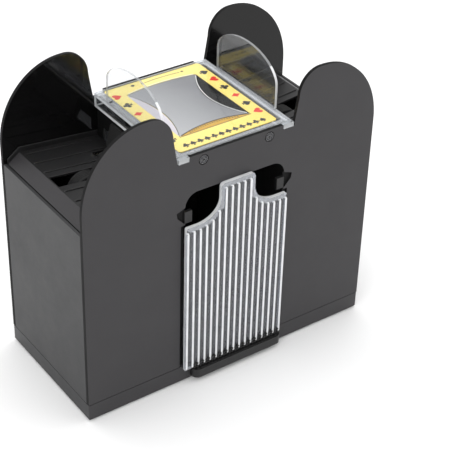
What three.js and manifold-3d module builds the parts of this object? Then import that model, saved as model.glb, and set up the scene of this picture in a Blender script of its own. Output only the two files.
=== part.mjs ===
// Automatic card shuffler: two side trays feed cards past rubber rollers into a centre chamber,
// where they drop into a clear pull-out drawer.
// Millimetres, +Z up, front at -Y. The origin is on the underside, at the middle of the body.
import * as THREE from "three";
import { mergeVertices } from "three/addons/utils/BufferGeometryUtils.js";
import Module from "manifold-3d";

const wasm = await Module();
wasm.setup();

// ---- driving dimensions ----
const WIDTH = 210; // body, side wall to side wall
const DEPTH = 96; // body, front face to back face
const HEIGHT = 197; // to the top of the four ears
const WALL = 2.5; // front and back panels
const SIDE_WALL = 2;
const GAP = 0.3; // between neighbouring pieces
const BASE_H = 11.5; // plinth under the seam line
const SIDE_TOP = 135.5; // top of the side walls
const BRIDGE_TOP = 165; // panel edge between the ears

const HALF_W = WIDTH / 2;
const HALF_D = DEPTH / 2;
const INNER_Y = HALF_D - WALL; // inner face of front and back panels
const CLEAR_Y = INNER_Y - GAP; // half length of what sits between the panels

// ears
const EAR = { apexOuter: 62, apexInner: 60, spring: 148, shoulder: 180, innerTop: 44.5, innerFoot: 41.5 };
const NOTCH = { x: 33.5, z: 162 }; // panel notch for the cover's corner feet

// fixings and feet
const SCREW = { x: 23.6, z: 160.3, headR: 2.8, head: 1, recess: 1.4, shankR: 1.3, bore: 1.7, length: 8 };
const FLOOR_SCREW = { x: 44, y: 38, headR: 3, low: 0.4, top: 19 };
const FOOT = { x: 93, y: 37, r: 6, proud: 1.2, seat: 0.8 };

// plinth
const PLINTH = { radius: 0.8, wall: 2, floor: 2, sole: 1 };
const LIP = { from: -31, to: 37, cut: 4, front: -54, low: 2.5, high: 8.8 }; // tongue under the drawer
const RAIL = { from: 26, to: 29, top: 13.3 }; // the drawer's floor slides on these

// card trays, measured on the side away from the centre
const TRAY = { outer: 102.5, crest: 94.5, crestZ: 141.3, slope: 0.1, inner: 39.9, sheet: 1.6 };
const RIDGE_PITCH = 12;
const RIDGE_OFFSET = 4; // the roller slot takes the place of the ridge at this y
const trayZ = (x) => TRAY.crestZ - TRAY.slope * (TRAY.crest - x);
const RIDGE = { half: 0.6, rise: 0.7, sink: 0.3 };
const FLANGE = { sheet: 1.2, rise: 3.4 }; // upstand along the front and back panels
const SLOT = { from: 52, to: 93.5, y: [-2, 10] };

// centre chamber
const FRAME = { outer: 39.3, inner: 37.5, top: 155.7, bottom: 12.2 };
const WINDOW = { low: 132.5, high: 143.5, half: 38 }; // cards pass into the chamber here
const GATE = { top: 153, knee: 139.6, tip: 138.6, throat: 144, half: 26 };

// clear cover
const COVER = { half: 41, plateLow: 163, plateHigh: 165.5, skirtLow: 156, skirt: 1.8, lug: 3, lugLow: 157.2 };
const LABEL = { halfX: 35, halfY: 42, y: 1, z: 162.2, sheet: 0.5 };
const STAR = { halfX: 26, halfY: 29.7, y: 2.9, arcRight: 10.5, arcLeft: 7, arcFront: 5, arcBack: -2.5 };
const GUIDE = { x: 40.5, sheet: 1.8, half: 30.6, foot: 165.8, shoulder: 181, top: 198 };

// drawer
const DRAWER = { half: 36.7, face: -50.8, low: 9.5, shoulder: 118, top: 141, tab: 12.3 };
const DRAWER_BOX = { half: 34.5, wall: 1.5, back: 42, floor: [13.6, 15.2], top: 38 };
const DRAWER_CURVE = 13; // rise of the curved shoulder to the finger tab
const DRAWER_FLAT = 8; // straight part of each shoulder
const OPENING = { half: 36, top: 140, radius: 9 };
const REBATE = { out: 38.9, top: 119, deep: 1.4 }; // shallow step in the front panel, beside the drawer
const STOP = { from: 31, to: 36.3, low: 120, high: 128, recess: 0.2 }; // block on each edge of the opening
const RIBS = 17;
const RIB = { half: 0.7, crest: 0.45, proud: 1.1, low: 1.5, short: 3.2 };

// roller drives, in each half: x from the centre plane, z up
const FEED = { x: 48.3, z: 128.8, roller: 8.6, rollerY: [-19, 19], width: 10 };
const IDLER = { x: 59.3, z: 128.8 };
const PICKUP = { x: 72.3, z: 128.8, roller: 11.4, width: 9 };
const REDUCTION_ANGLE = THREE.MathUtils.degToRad(-100);
const MODULE_A = 1; // roller gears
const MODULE_B = 0.8; // motor pinion and the gear that it drives
const TEETH = { feed: 10, idler: 12, pickup: 14, small: 10, large: 23, pinion: 9 };
const REDUCTION = {
  x: FEED.x - Math.cos(REDUCTION_ANGLE) * ((TEETH.feed + TEETH.small) * MODULE_A) / 2,
  z: FEED.z + Math.sin(REDUCTION_ANGLE) * ((TEETH.feed + TEETH.small) * MODULE_A) / 2,
};
const MOTOR = {
  x: REDUCTION.x,
  z: REDUCTION.z - ((TEETH.large + TEETH.pinion) * MODULE_B) / 2,
  can: 10,
  back: 2,
  cap: 7,
  boss: 3.1,
  shaft: 1,
};
const LAYER_A = [31, 35];
const LAYER_B = [36, 39.5];
const PLATE_BACK = [27.5, 29.5]; // bearing plate beside the gears
const PLATE_FRONT = [-37.5, -35.5]; // bearing plate at the far end of the shafts
const SHAFT_R = 1.5;
const BORE_R = 1.85;
const PIN_END = 0.6; // a pin or shaft stands this far past its gears

// electrics
const BOARD = { x: 70, y: 36.4, z: 31, w: 40, h: 34, sheet: 1.6 };
const USB = { x: 61.5, z: 21.6, w: 9, h: 3.3 };
const BUTTON = { x: 78, z: 36, cap: 6, flange: 7.5, proud: 2.6 };
const CELL = { x: 84, z: 13.2, r: 9.2, length: 65 };

// ---- materials ----
const finish = (color, roughness, metalness, opacity = 1) =>
  new THREE.MeshStandardMaterial({ color, roughness, metalness, opacity, transparent: opacity < 1 });
const MATERIAL = {
  shell: finish(0x4b4a4d, 0.55, 0),
  inner: finish(0x1c1c1e, 0.6, 0),
  clear: finish(0xe8edf0, 0.08, 0, 0.3),
  label: finish(0xf4dc7c, 0.45, 0),
  silver: finish(0xb9bbbd, 0.35, 0.6),
  rubber: finish(0x151515, 0.85, 0),
  gear: finish(0xe9e6da, 0.5, 0),
  steel: finish(0xb8bcc0, 0.3, 1),
  board: finish(0x1d5b33, 0.5, 0),
  cell: finish(0x2f6fb0, 0.45, 0),
};

// ---- solids ----
function solid(geometry) {
  const g = geometry.clone();
  g.deleteAttribute("normal");
  g.deleteAttribute("uv");
  const merged = mergeVertices(g, 1e-4);
  return new wasm.Manifold(
    new wasm.Mesh({
      numProp: 3,
      vertProperties: merged.attributes.position.array,
      triVerts: new Uint32Array(merged.index.array),
    }),
  );
}

const union = (...parts) => parts.reduce((all, part) => all.add(part));
const cut = (body, ...tools) => tools.reduce((rest, tool) => rest.subtract(tool), body);
const span = (a, b) => (a < b ? [a, b] : [b, a]);

function box(x, y, z) {
  const geometry = new THREE.BoxGeometry(x[1] - x[0], y[1] - y[0], z[1] - z[0]);
  geometry.translate((x[0] + x[1]) / 2, (y[0] + y[1]) / 2, (z[0] + z[1]) / 2);
  return solid(geometry);
}

const shapeOf = (points) => new THREE.Shape(points.map(([a, b]) => new THREE.Vector2(a, b)));

// Extrudes an outline drawn in two of the axes along the third.
function extrude(points, axis, [from, to]) {
  const geometry = new THREE.ExtrudeGeometry(shapeOf(points), { depth: to - from, bevelEnabled: false });
  const basis = {
    x: [[0, 1, 0], [0, 0, 1], [1, 0, 0], [from, 0, 0]], // outline in y, z
    y: [[1, 0, 0], [0, 0, 1], [0, -1, 0], [0, to, 0]], // outline in x, z
    z: [[1, 0, 0], [0, 1, 0], [0, 0, 1], [0, 0, from]], // outline in x, y
  }[axis].map((v) => new THREE.Vector3(...v));
  geometry.applyMatrix4(new THREE.Matrix4().makeBasis(basis[0], basis[1], basis[2]).setPosition(basis[3]));
  return solid(geometry);
}

// A cylinder along y, between two ends.
function rod(radius, x, z, y, sides = 16) {
  const geometry = new THREE.CylinderGeometry(radius, radius, y[1] - y[0], sides);
  geometry.translate(x, (y[0] + y[1]) / 2, z);
  return solid(geometry);
}

// A cylinder along z, between two ends.
function post(radius, x, y, z, sides = 16) {
  const geometry = new THREE.CylinderGeometry(radius, radius, z[1] - z[0], sides);
  geometry.rotateX(Math.PI / 2);
  geometry.translate(x, y, (z[0] + z[1]) / 2);
  return solid(geometry);
}

function arc(cx, cy, rx, ry, from, to, steps) {
  return Array.from({ length: steps + 1 }, (_, i) => {
    const a = THREE.MathUtils.degToRad(from + ((to - from) * i) / steps);
    return [cx + rx * Math.cos(a), cy + ry * Math.sin(a)];
  });
}

const reflect = (points) => points.map(([x, z]) => [-x, z]).reverse();

function roundedRectangle(halfX, halfY, radius, steps = 4) {
  const corner = (sx, sy, from) =>
    arc(sx * (halfX - radius), sy * (halfY - radius), radius, radius, from, from + 90, steps);
  return [...corner(1, 1, 0), ...corner(-1, 1, 90), ...corner(-1, -1, 180), ...corner(1, -1, 270)];
}

// ---- shell ----
// The left half of a panel's upper outline, from the side wall to the middle.
function earOutline() {
  const { apexOuter, apexInner, spring, shoulder, innerTop, innerFoot } = EAR;
  return [
    [-HALF_W, BASE_H + GAP],
    ...arc(-apexOuter, spring, HALF_W - apexOuter, HEIGHT - spring, 180, 90, 12),
    ...arc(-apexInner, shoulder, apexInner - innerTop, HEIGHT - shoulder, 90, 0, 8),
    [-innerFoot, NOTCH.z],
    [-NOTCH.x, NOTCH.z],
    [-NOTCH.x, BRIDGE_TOP],
  ];
}

// The front panel has end -1 and the back panel has end 1.
function panelBlank(end) {
  const half = earOutline();
  let panel = extrude([...half, ...reflect(half)], "y", span(end * INNER_Y, end * HALF_D));
  for (const side of [-1, 1]) {
    const x = side * FLOOR_SCREW.x;
    const inward = span(end * (INNER_Y + GAP), end * (FLOOR_SCREW.y - 4));
    const boss = box([x - 4, x + 4], inward, [BASE_H + GAP, 24]);
    const pilot = post(SCREW.bore, x, end * FLOOR_SCREW.y, [BASE_H, 22], 12);
    const counterbore = span(end * (HALF_D - SCREW.recess), end * (HALF_D + 1));
    const through = span(end * (INNER_Y - 1), end * (HALF_D + 1));
    panel = cut(
      union(panel, boss),
      pilot,
      rod(SCREW.headR + 0.5, side * SCREW.x, SCREW.z, counterbore),
      rod(SCREW.bore, side * SCREW.x, SCREW.z, through, 12),
    );
  }
  return panel;
}

function frontPanel() {
  const { half, top, radius } = OPENING;
  const left = [[-half, 0], ...arc(-half + radius, top - radius, radius, radius, 180, 90, 6)];
  const opening = extrude([...left, ...reflect(left)], "y", [-HALF_D - 1, -INNER_Y + 1]);
  let panel = panelBlank(-1).subtract(opening);
  for (const side of [-1, 1]) {
    // a stop block on each edge of the opening, with a wedge-shaped relief beside it and a step below
    const wedge = [
      [half - 0.1, STOP.high + 3.5],
      [half + 6, STOP.high + 1],
      [half + 5.4, STOP.high - 2.5],
      [half + 0.8, STOP.low + 0.5],
      [half - 0.1, STOP.low + 0.5],
    ].map(([x, z]) => [side * x, z]);
    const relief = extrude(side > 0 ? wedge : wedge.reverse(), "y", [-HALF_D - 1, -HALF_D + SCREW.recess]);
    const block = box(
      span(side * STOP.from, side * STOP.to),
      [-HALF_D + STOP.recess, -INNER_Y],
      [STOP.low, STOP.high],
    );
    const rebate = box(
      span(side * (half - 1), side * REBATE.out),
      [-HALF_D - 1, -HALF_D + REBATE.deep],
      [0, REBATE.top],
    );
    panel = union(cut(panel, relief, rebate), block);
  }
  return panel;
}

function backPanel() {
  const socket = roundedRectangle(USB.w / 2 + 0.5, USB.h / 2 + 0.5, 1.6, 3);
  const hole = socket.map(([x, z]) => [x + USB.x, z + USB.z]);
  const through = [INNER_Y - 1, HALF_D + 1];
  const standoff = (x, z) => rod(2, x, z, [BOARD.y + BOARD.sheet + GAP, INNER_Y + 0.1], 10);
  return cut(
    union(panelBlank(1), standoff(BOARD.x - 16, BOARD.z + 13), standoff(BOARD.x + 16, BOARD.z - 13)),
    extrude(hole, "y", through),
    rod(BUTTON.cap + 0.5, BUTTON.x, BUTTON.z, through, 24),
  );
}

function sideWall() {
  const wall = box([-HALF_W, -HALF_W + SIDE_WALL], [-CLEAR_Y, CLEAR_Y], [BASE_H + GAP, SIDE_TOP]);
  const rib = (y) => box([-HALF_W + SIDE_WALL - 0.1, -HALF_W + 5], [y - 1, y + 1], [BASE_H + GAP, 128]);
  return union(wall, rib(-24), rib(0), rib(24));
}

function baseTray() {
  const { radius, wall, floor, sole } = PLINTH;
  const plinth = extrude(roundedRectangle(HALF_W, HALF_D, radius, 3), "z", [sole, BASE_H]);
  const soleSlab = extrude(roundedRectangle(HALF_W - 1, HALF_D - 1, radius - 0.5, 3), "z", [0, sole]);
  const hollow = box([-HALF_W + wall, HALF_W - wall], [-HALF_D + wall, HALF_D - wall], [floor, BASE_H + 1]);
  const lipOutline = [
    [LIP.from, -HALF_D + 1],
    [LIP.from, -HALF_D - 1],
    [LIP.from + LIP.cut, LIP.front],
    [LIP.to - LIP.cut, LIP.front],
    [LIP.to, -HALF_D - 1],
    [LIP.to, -HALF_D + 1],
  ];
  const lip = extrude(lipOutline, "z", [LIP.low, LIP.high]);
  const rail = (side) => box(span(side * RAIL.from, side * RAIL.to), [-CLEAR_Y, CLEAR_Y], [sole, RAIL.top]);
  let base = union(union(plinth, soleSlab).subtract(hollow), lip, rail(-1), rail(1));
  for (const side of [-1, 1]) {
    for (const end of [-1, 1]) {
      const screwAt = [side * FLOOR_SCREW.x, end * FLOOR_SCREW.y];
      base = cut(
        base,
        post(FLOOR_SCREW.headR + 0.4, ...screwAt, [-1, 1.8]),
        post(SCREW.bore, ...screwAt, [-1, 4], 12),
        post(FOOT.r + GAP, side * FOOT.x, end * FOOT.y, [-1, FOOT.seat], 20),
      );
    }
  }
  return base;
}

function rubberFoot(side, end) {
  const top = FOOT.seat - GAP;
  const profile = [
    [0, -FOOT.proud],
    [FOOT.r - 0.8, -FOOT.proud],
    [FOOT.r, -FOOT.proud + 0.8],
    [FOOT.r, top],
    [0, top],
  ];
  const geometry = new THREE.LatheGeometry(profile.map(([r, z]) => new THREE.Vector2(r, z)), 20);
  geometry.rotateX(Math.PI / 2);
  geometry.translate(side * FOOT.x, end * FOOT.y, 0);
  return solid(geometry);
}

// ---- card trays ----
function cardTray() {
  const top = [
    [-TRAY.outer, SIDE_TOP],
    [-TRAY.crest, TRAY.crestZ],
    [-TRAY.inner, trayZ(TRAY.inner)],
  ];
  const lifted = (rise) => top.map(([x, z]) => [x, z + rise]);
  const sheet = extrude([...top, ...lifted(-TRAY.sheet).reverse()], "y", [-CLEAR_Y, CLEAR_Y]);
  const flange = [...lifted(-0.5), ...lifted(FLANGE.rise).reverse()];
  let tray = union(
    sheet,
    extrude(flange, "y", [CLEAR_Y - FLANGE.sheet, CLEAR_Y]),
    extrude(flange, "y", [-CLEAR_Y, FLANGE.sheet - CLEAR_Y]),
  );
  const onFloor = (x, rise) => [-x, trayZ(x) + rise];
  const ridge = [
    onFloor(TRAY.crest - 1, -RIDGE.sink),
    onFloor(TRAY.crest - 1.6, RIDGE.rise),
    onFloor(TRAY.inner + 2, RIDGE.rise),
    onFloor(TRAY.inner + 1, -RIDGE.sink),
  ];
  for (let i = -4; i <= 3; i += 1) {
    const y = RIDGE_OFFSET + i * RIDGE_PITCH;
    if (i !== 0) tray = tray.add(extrude(ridge, "y", [y - RIDGE.half, y + RIDGE.half]));
  }
  // the pickup roller's slot, and a window over each feed roller
  tray = tray.subtract(box([-SLOT.to, -SLOT.from], SLOT.y, [120, 150]));
  for (const y of FEED.rollerY) {
    const half = FEED.width / 2 + 2;
    tray = tray.subtract(box([-FEED.x - 6.5, -FEED.x + 6.5], [y - half, y + half], [120, 150]));
  }
  return tray;
}

// ---- roller drives, left half ----
// Straight-flanked teeth with backlash; phase turns the first tooth away from +x.
function gearOutline(teeth, module, phase, x, z) {
  const pitchR = (teeth * module) / 2;
  const tip = pitchR + 0.85 * module;
  const root = pitchR - 1.15 * module;
  const step = (2 * Math.PI) / teeth;
  const flank = [[root, -0.3], [pitchR, -0.21], [tip, -0.1], [tip, 0.1], [pitchR, 0.21], [root, 0.3]];
  return Array.from({ length: teeth }, (_, i) => phase + i * step).flatMap((middle) =>
    flank.map(([r, share]) => {
      const a = middle + share * step;
      return [x + r * Math.cos(a), z + r * Math.sin(a)];
    }),
  );
}

function gear(teeth, module, phase, x, z, y) {
  const bore = rod(BORE_R, x, z, [y[0] - 1, y[1] + 1], 12);
  return extrude(gearOutline(teeth, module, phase, x, z), "y", y).subtract(bore);
}

// The phase of a gear that meshes with a neighbour, seen from the neighbour in the given direction.
function matePhase(phase, teeth, ownTeeth, direction) {
  const turned = ((direction - phase) * teeth) / (2 * Math.PI);
  return direction + Math.PI - (2 * Math.PI * (0.5 - turned)) / ownTeeth;
}

// A rubber-tyred roller on the axis x, z, with softened edges and a bore for its shaft.
function roller(outer, x, z, middle, width) {
  const edge = 0.6;
  const y = [middle - width / 2, middle + width / 2];
  const profile = [
    [BORE_R, y[0]],
    [outer - edge, y[0]],
    [outer, y[0] + edge],
    [outer, y[1] - edge],
    [outer - edge, y[1]],
    [BORE_R, y[1]],
    [BORE_R, y[0]],
  ];
  const geometry = new THREE.LatheGeometry(profile.map(([r, h]) => new THREE.Vector2(r, h)), 20);
  geometry.translate(x, 0, z);
  return solid(geometry);
}

// Left-half positions of the axes, as [x, z].
const AXIS = {
  feed: [-FEED.x, FEED.z],
  idler: [-IDLER.x, IDLER.z],
  pickup: [-PICKUP.x, PICKUP.z],
  reduction: [-REDUCTION.x, REDUCTION.z],
  motor: [-MOTOR.x, MOTOR.z],
};
const directionOf = (from, to) => Math.atan2(to[1] - from[1], to[0] - from[0]);
const PHASE = { feed: 0, large: 0 };
PHASE.idler = matePhase(PHASE.feed, TEETH.feed, TEETH.idler, directionOf(AXIS.feed, AXIS.idler));
PHASE.pickup = matePhase(PHASE.idler, TEETH.idler, TEETH.pickup, directionOf(AXIS.idler, AXIS.pickup));
PHASE.small = matePhase(PHASE.feed, TEETH.feed, TEETH.small, directionOf(AXIS.feed, AXIS.reduction));
PHASE.pinion = matePhase(PHASE.large, TEETH.large, TEETH.pinion, directionOf(AXIS.reduction, AXIS.motor));

// A wall beside the chamber, with the card window, the two bearing plates and the gear pins.
function mechanismFrame() {
  const { outer, inner, bottom, top } = FRAME;
  const wall = box([-outer, -inner], [-CLEAR_Y, CLEAR_Y], [bottom, top]);
  const window = box([-outer - 1, -inner + 1], [-WINDOW.half, WINDOW.half], [WINDOW.low, WINDOW.high]);
  const root = -outer + 0.4;
  const plateOutline = [[root, 96], [-62, 96], [-80, 118], [-80, 134.5], [root, 131]];
  const through = [PLATE_FRONT[0] - 1, PLATE_BACK[1] + 1];
  const motorHole = rod(MOTOR.boss + 0.5, ...AXIS.motor, [PLATE_BACK[0] - 1, PLATE_BACK[1] + 1]);
  const pin = (at, last) => rod(SHAFT_R, ...at, [PLATE_BACK[1] - 0.5, last + PIN_END], 12);
  const plates = union(extrude(plateOutline, "y", PLATE_BACK), extrude(plateOutline, "y", PLATE_FRONT));
  const frame = cut(
    union(wall.subtract(window), plates),
    rod(BORE_R, ...AXIS.feed, through, 12),
    rod(BORE_R, ...AXIS.pickup, through, 12),
    motorHole,
  );
  return union(frame, pin(AXIS.idler, LAYER_A[1]), pin(AXIS.reduction, LAYER_B[1]));
}

function reductionGear() {
  const small = [LAYER_A[0], LAYER_B[0] + 0.1];
  return union(
    gear(TEETH.small, MODULE_A, PHASE.small, ...AXIS.reduction, small),
    gear(TEETH.large, MODULE_B, PHASE.large, ...AXIS.reduction, LAYER_B),
  );
}

// A 130-size motor: a round can with two flats, and an end cap with a boss.
function motor() {
  const [x, z] = AXIS.motor;
  const { can, back, cap, boss, shaft } = MOTOR;
  const face = PLATE_BACK[0] - GAP;
  const outline = [...arc(x, z, can, can, -48, 48, 8), ...arc(x, z, can, can, 132, 228, 8)];
  return cut(
    union(
      extrude(outline, "y", [back, face]),
      rod(cap, x, z, [back - 2, back + 0.1]),
      rod(boss, x, z, [face - 0.1, PLATE_BACK[0] + 1.2]),
    ),
    rod(shaft + GAP, x, z, [back + 4, PLATE_BACK[0] + 2], 12),
  );
}

function motorPinion() {
  const teeth = gearOutline(TEETH.pinion, MODULE_B, PHASE.pinion, ...AXIS.motor);
  const shaft = rod(MOTOR.shaft, ...AXIS.motor, [MOTOR.back + 8, LAYER_B[1] + 0.8], 10);
  return union(extrude(teeth, "y", LAYER_B), shaft);
}

// The rubber flap that lets one card at a time under it.
function cardGate() {
  const root = FRAME.outer + GAP;
  const outline = [
    [-root, GATE.top],
    [-root - 1.8, GATE.top],
    [-root - 5.5, GATE.knee],
    [-root - 3.4, GATE.tip],
    [-root, GATE.throat],
  ];
  return extrude(outline, "y", [-GATE.half, GATE.half]);
}

// ---- centre: cover, label and guides ----
function topCover() {
  const { half, plateLow, plateHigh, skirtLow, skirt, lug, lugLow } = COVER;
  let cover = box([-half, half], [-CLEAR_Y, CLEAR_Y], [plateLow, plateHigh]);
  for (const side of [-1, 1]) {
    const sideSkirt = span(side * half, side * (half - skirt));
    const endSkirt = span(side * CLEAR_Y, side * (CLEAR_Y - skirt));
    cover = union(
      cover,
      box(sideSkirt, [-CLEAR_Y, CLEAR_Y], [skirtLow, plateLow + 0.1]),
      box([-half + 0.1, half - 0.1], endSkirt, [skirtLow + 1, plateLow + 0.1]),
    );
  }
  for (const side of [-1, 1]) {
    for (const end of [-1, 1]) {
      // a corner foot that hooks over the panel's notch, and a lug for the cover screw
      const footX = span(side * (NOTCH.x + GAP), side * half);
      const footY = span(end * (CLEAR_Y - 0.1), end * (HALF_D + GAP));
      const lugX = [side * SCREW.x - lug, side * SCREW.x + lug];
      const lugY = span(end * CLEAR_Y, end * (CLEAR_Y - 7));
      const pilotY = span(end * (CLEAR_Y + 1), end * (CLEAR_Y - 8));
      const pilot = rod(SCREW.bore, side * SCREW.x, SCREW.z, pilotY, 12);
      cover = union(
        cover,
        box(footX, footY, [NOTCH.z + GAP, plateHigh]),
        box(lugX, lugY, [lugLow, LABEL.z - 0.4]),
      ).subtract(pilot);
    }
  }
  return cover;
}

// A four-pointed outline whose sides bow in by the given amounts.
function starOutline(shrink) {
  const { halfX, halfY, y, arcRight, arcLeft, arcFront, arcBack } = STAR;
  const hx = halfX - shrink;
  const hy = halfY - shrink;
  const bow = ([ax, ay], [bx, by], depth, steps = 12) =>
    Array.from({ length: steps }, (_, i) => {
      const t = i / steps;
      const sag = (4 * t * (1 - t) * depth) / Math.hypot(bx - ax, by - ay);
      return [ax + (bx - ax) * t - (by - ay) * sag, y + ay + (by - ay) * t + (bx - ax) * sag];
    });
  const corners = [[hx, -hy], [hx, hy], [-hx, hy], [-hx, -hy]];
  const depths = [arcRight, arcBack, arcLeft, arcFront];
  return corners.flatMap((corner, i) => bow(corner, corners[(i + 1) % 4], depths[i]));
}

// The see-through lens between the right-hand bow of the star and the label's straight edge.
function lensOutline(steps = 12) {
  const { halfX, halfY, y, arcRight } = STAR;
  const bow = Array.from({ length: steps + 1 }, (_, i) => {
    const t = i / steps;
    return [halfX - 4 * t * (1 - t) * arcRight - 0.2, y - halfY + 2 * halfY * t];
  });
  return [...bow.reverse(), [halfX, y - halfY + 0.5], [halfX, y + halfY - 0.5]];
}

function labelSheet() {
  const outline = roundedRectangle(LABEL.halfX, LABEL.halfY, 2).map(([x, y]) => [x, y + LABEL.y]);
  const through = [LABEL.z - 1, LABEL.z + LABEL.sheet + 1];
  return cut(
    extrude(outline, "z", [LABEL.z, LABEL.z + LABEL.sheet]),
    extrude(starOutline(0), "z", through),
    extrude(lensOutline(), "z", through),
  );
}

function silverPanel() {
  return extrude(starOutline(GAP * 1.5), "z", [LABEL.z - 0.2, LABEL.z + LABEL.sheet]);
}

function cardGuide() {
  const { x, sheet, half, foot, shoulder, top } = GUIDE;
  const outline = [[half, foot], ...arc(0, shoulder, half, top - shoulder, 0, 180, 20), [-half, foot]];
  return extrude(outline, "x", [-x - sheet / 2, -x + sheet / 2]);
}

// ---- drawer ----
function drawerFace() {
  const { half, low, shoulder, top, tab } = DRAWER;
  const flat = half - DRAWER_FLAT;
  const corner = 2.5;
  const right = [
    [half, low],
    [half, shoulder - 0.6],
    [half - 0.6, shoulder],
    ...arc(flat, shoulder + DRAWER_CURVE, flat - tab, DRAWER_CURVE, 270, 180, 8),
    ...arc(tab - corner, top - corner, corner, corner, 0, 90, 3),
  ];
  return [...right, ...reflect(right)];
}

// Height of the front plate's upper edge at a given x.
function drawerEdge(x) {
  const { half, shoulder, top, tab } = DRAWER;
  const flat = half - DRAWER_FLAT;
  if (Math.abs(x) < tab) return top;
  const run = Math.min(1, (flat - Math.abs(x)) / (flat - tab));
  return run <= 0 ? shoulder : shoulder + DRAWER_CURVE * (1 - Math.sqrt(1 - run * run));
}

function cardDrawer() {
  const { half: boxHalf, wall, back, floor, top } = DRAWER_BOX;
  const { half, face, low } = DRAWER;
  const rear = -HALF_D - GAP; // of the front plate
  const depth = [rear - 0.1, back];
  let drawer = union(
    extrude(drawerFace(), "y", [face, rear]),
    box([-boxHalf, boxHalf], depth, floor),
    box([-boxHalf, -boxHalf + wall], depth, [floor[0], top]),
    box([boxHalf - wall, boxHalf], depth, [floor[0], top]),
    box([-boxHalf, boxHalf], [back - wall, back], [floor[0], top]),
  );
  const pitch = (2 * (half - RIB.half)) / (RIBS - 1);
  for (let i = 0; i < RIBS; i += 1) {
    const x = -half + RIB.half + i * pitch;
    const crest = face + 0.1 - RIB.proud;
    const section = [
      [x - RIB.half, face + 0.1],
      [x - RIB.crest, crest],
      [x + RIB.crest, crest],
      [x + RIB.half, face + 0.1],
    ];
    drawer = drawer.add(extrude(section, "z", [low + RIB.low, drawerEdge(x) - RIB.short]));
  }
  return drawer;
}

// ---- electrics ----
const BOARD_BACK = BOARD.y + BOARD.sheet + GAP; // what stands on the board starts here

function circuitBoard() {
  return box(
    [BOARD.x - BOARD.w / 2, BOARD.x + BOARD.w / 2],
    [BOARD.y, BOARD.y + BOARD.sheet],
    [BOARD.z - BOARD.h / 2, BOARD.z + BOARD.h / 2],
  );
}

function usbSocket() {
  const outline = (wall) => {
    const oval = roundedRectangle(USB.w / 2 - wall, USB.h / 2 - wall, 1.5 - wall, 3);
    return oval.map(([x, z]) => [x + USB.x, z + USB.z]);
  };
  const shell = extrude(outline(0), "y", [BOARD_BACK, HALF_D - 0.4]);
  const mouth = extrude(outline(0.35), "y", [HALF_D - 6.5, HALF_D]);
  const tongue = box([USB.x - 3, USB.x + 3], [HALF_D - 7, HALF_D - 1.4], [USB.z - 0.35, USB.z + 0.35]);
  return union(shell.subtract(mouth), tongue);
}

function startSwitch() {
  const body = box(
    [BUTTON.x - 3, BUTTON.x + 3],
    [BOARD_BACK, BOARD_BACK + 2.2],
    [BUTTON.z - 3, BUTTON.z + 3],
  );
  return union(body, rod(1.6, BUTTON.x, BUTTON.z, [BOARD_BACK + 2.1, BOARD_BACK + 2.9], 12));
}

function startButton() {
  const flange = rod(BUTTON.flange, BUTTON.x, BUTTON.z, [INNER_Y - 2, INNER_Y - 0.4], 24);
  return union(flange, rod(BUTTON.cap, BUTTON.x, BUTTON.z, [INNER_Y - 0.5, HALF_D + BUTTON.proud], 24));
}

function batteryCell() {
  return rod(CELL.r, -CELL.x, CELL.z, [-CELL.length / 2, CELL.length / 2], 20);
}

function batteryCradle() {
  const half = 11;
  const low = PLINTH.floor + 0.4;
  const outline = [
    [-CELL.x - half, low],
    [-CELL.x + half, low],
    [-CELL.x + half, CELL.z + 2],
    ...arc(-CELL.x, CELL.z, CELL.r + 0.5, CELL.r + 0.5, 8, -188, 14),
    [-CELL.x - half, CELL.z + 2],
  ];
  const inner = CELL.length / 2 + GAP;
  const stop = (end) =>
    box([-CELL.x - half, -CELL.x + half], span(end * inner, end * (inner + 2)), [low, CELL.z + 6]);
  return union(extrude(outline, "y", [-inner - 0.1, inner + 0.1]), stop(-1), stop(1));
}

// ---- screws ----
function coverScrew(side, end) {
  const x = side * SCREW.x;
  const face = end * (HALF_D - SCREW.recess + GAP);
  const slot = (a, b) =>
    box([x - a, x + a], span(face + end * 0.3, face + end * 2), [SCREW.z - b, SCREW.z + b]);
  return cut(
    union(
      rod(SCREW.headR, x, SCREW.z, span(face, face + end * SCREW.head)),
      rod(SCREW.shankR, x, SCREW.z, span(face + end * 0.1, face - end * SCREW.length), 12),
    ),
    union(slot(1.7, 0.35), slot(0.35, 1.7)),
  );
}

function baseScrew(side, end) {
  const at = [side * FLOOR_SCREW.x, end * FLOOR_SCREW.y];
  const head = [FLOOR_SCREW.low, FLOOR_SCREW.low + 1.1];
  return union(
    post(FLOOR_SCREW.headR, ...at, head),
    post(SCREW.shankR, ...at, [head[1] - 0.1, FLOOR_SCREW.top], 12),
  );
}

// ---- assembly ----
const shuffler = new THREE.Group();
shuffler.name = "automatic_card_shuffler";

function geometryOf(body) {
  const { vertProperties, triVerts, numProp } = body.getMesh();
  const positions = new Float32Array((vertProperties.length / numProp) * 3);
  for (let i = 0; i < positions.length / 3; i += 1) {
    positions.set(vertProperties.subarray(i * numProp, i * numProp + 3), i * 3);
  }
  const geometry = new THREE.BufferGeometry();
  geometry.setAttribute("position", new THREE.BufferAttribute(positions, 3));
  geometry.setIndex(new THREE.BufferAttribute(triVerts.slice(), 1));
  return geometry;
}

function mirrored(geometry) {
  const copy = geometry.clone();
  copy.scale(-1, 1, 1);
  const index = copy.index.array;
  for (let i = 0; i < index.length; i += 3) {
    [index[i + 1], index[i + 2]] = [index[i + 2], index[i + 1]];
  }
  return copy;
}

function place(name, geometry, material) {
  geometry.computeVertexNormals();
  const mesh = new THREE.Mesh(geometry, MATERIAL[material]);
  mesh.name = name;
  shuffler.add(mesh);
}

const add = (name, body, material) => place(name, geometryOf(body), material);

// The same piece on the left and, mirrored, on the right.
function addPair(name, body, material) {
  const left = geometryOf(body);
  place("right_" + name, mirrored(left), material);
  place("left_" + name, left, material);
}

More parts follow.
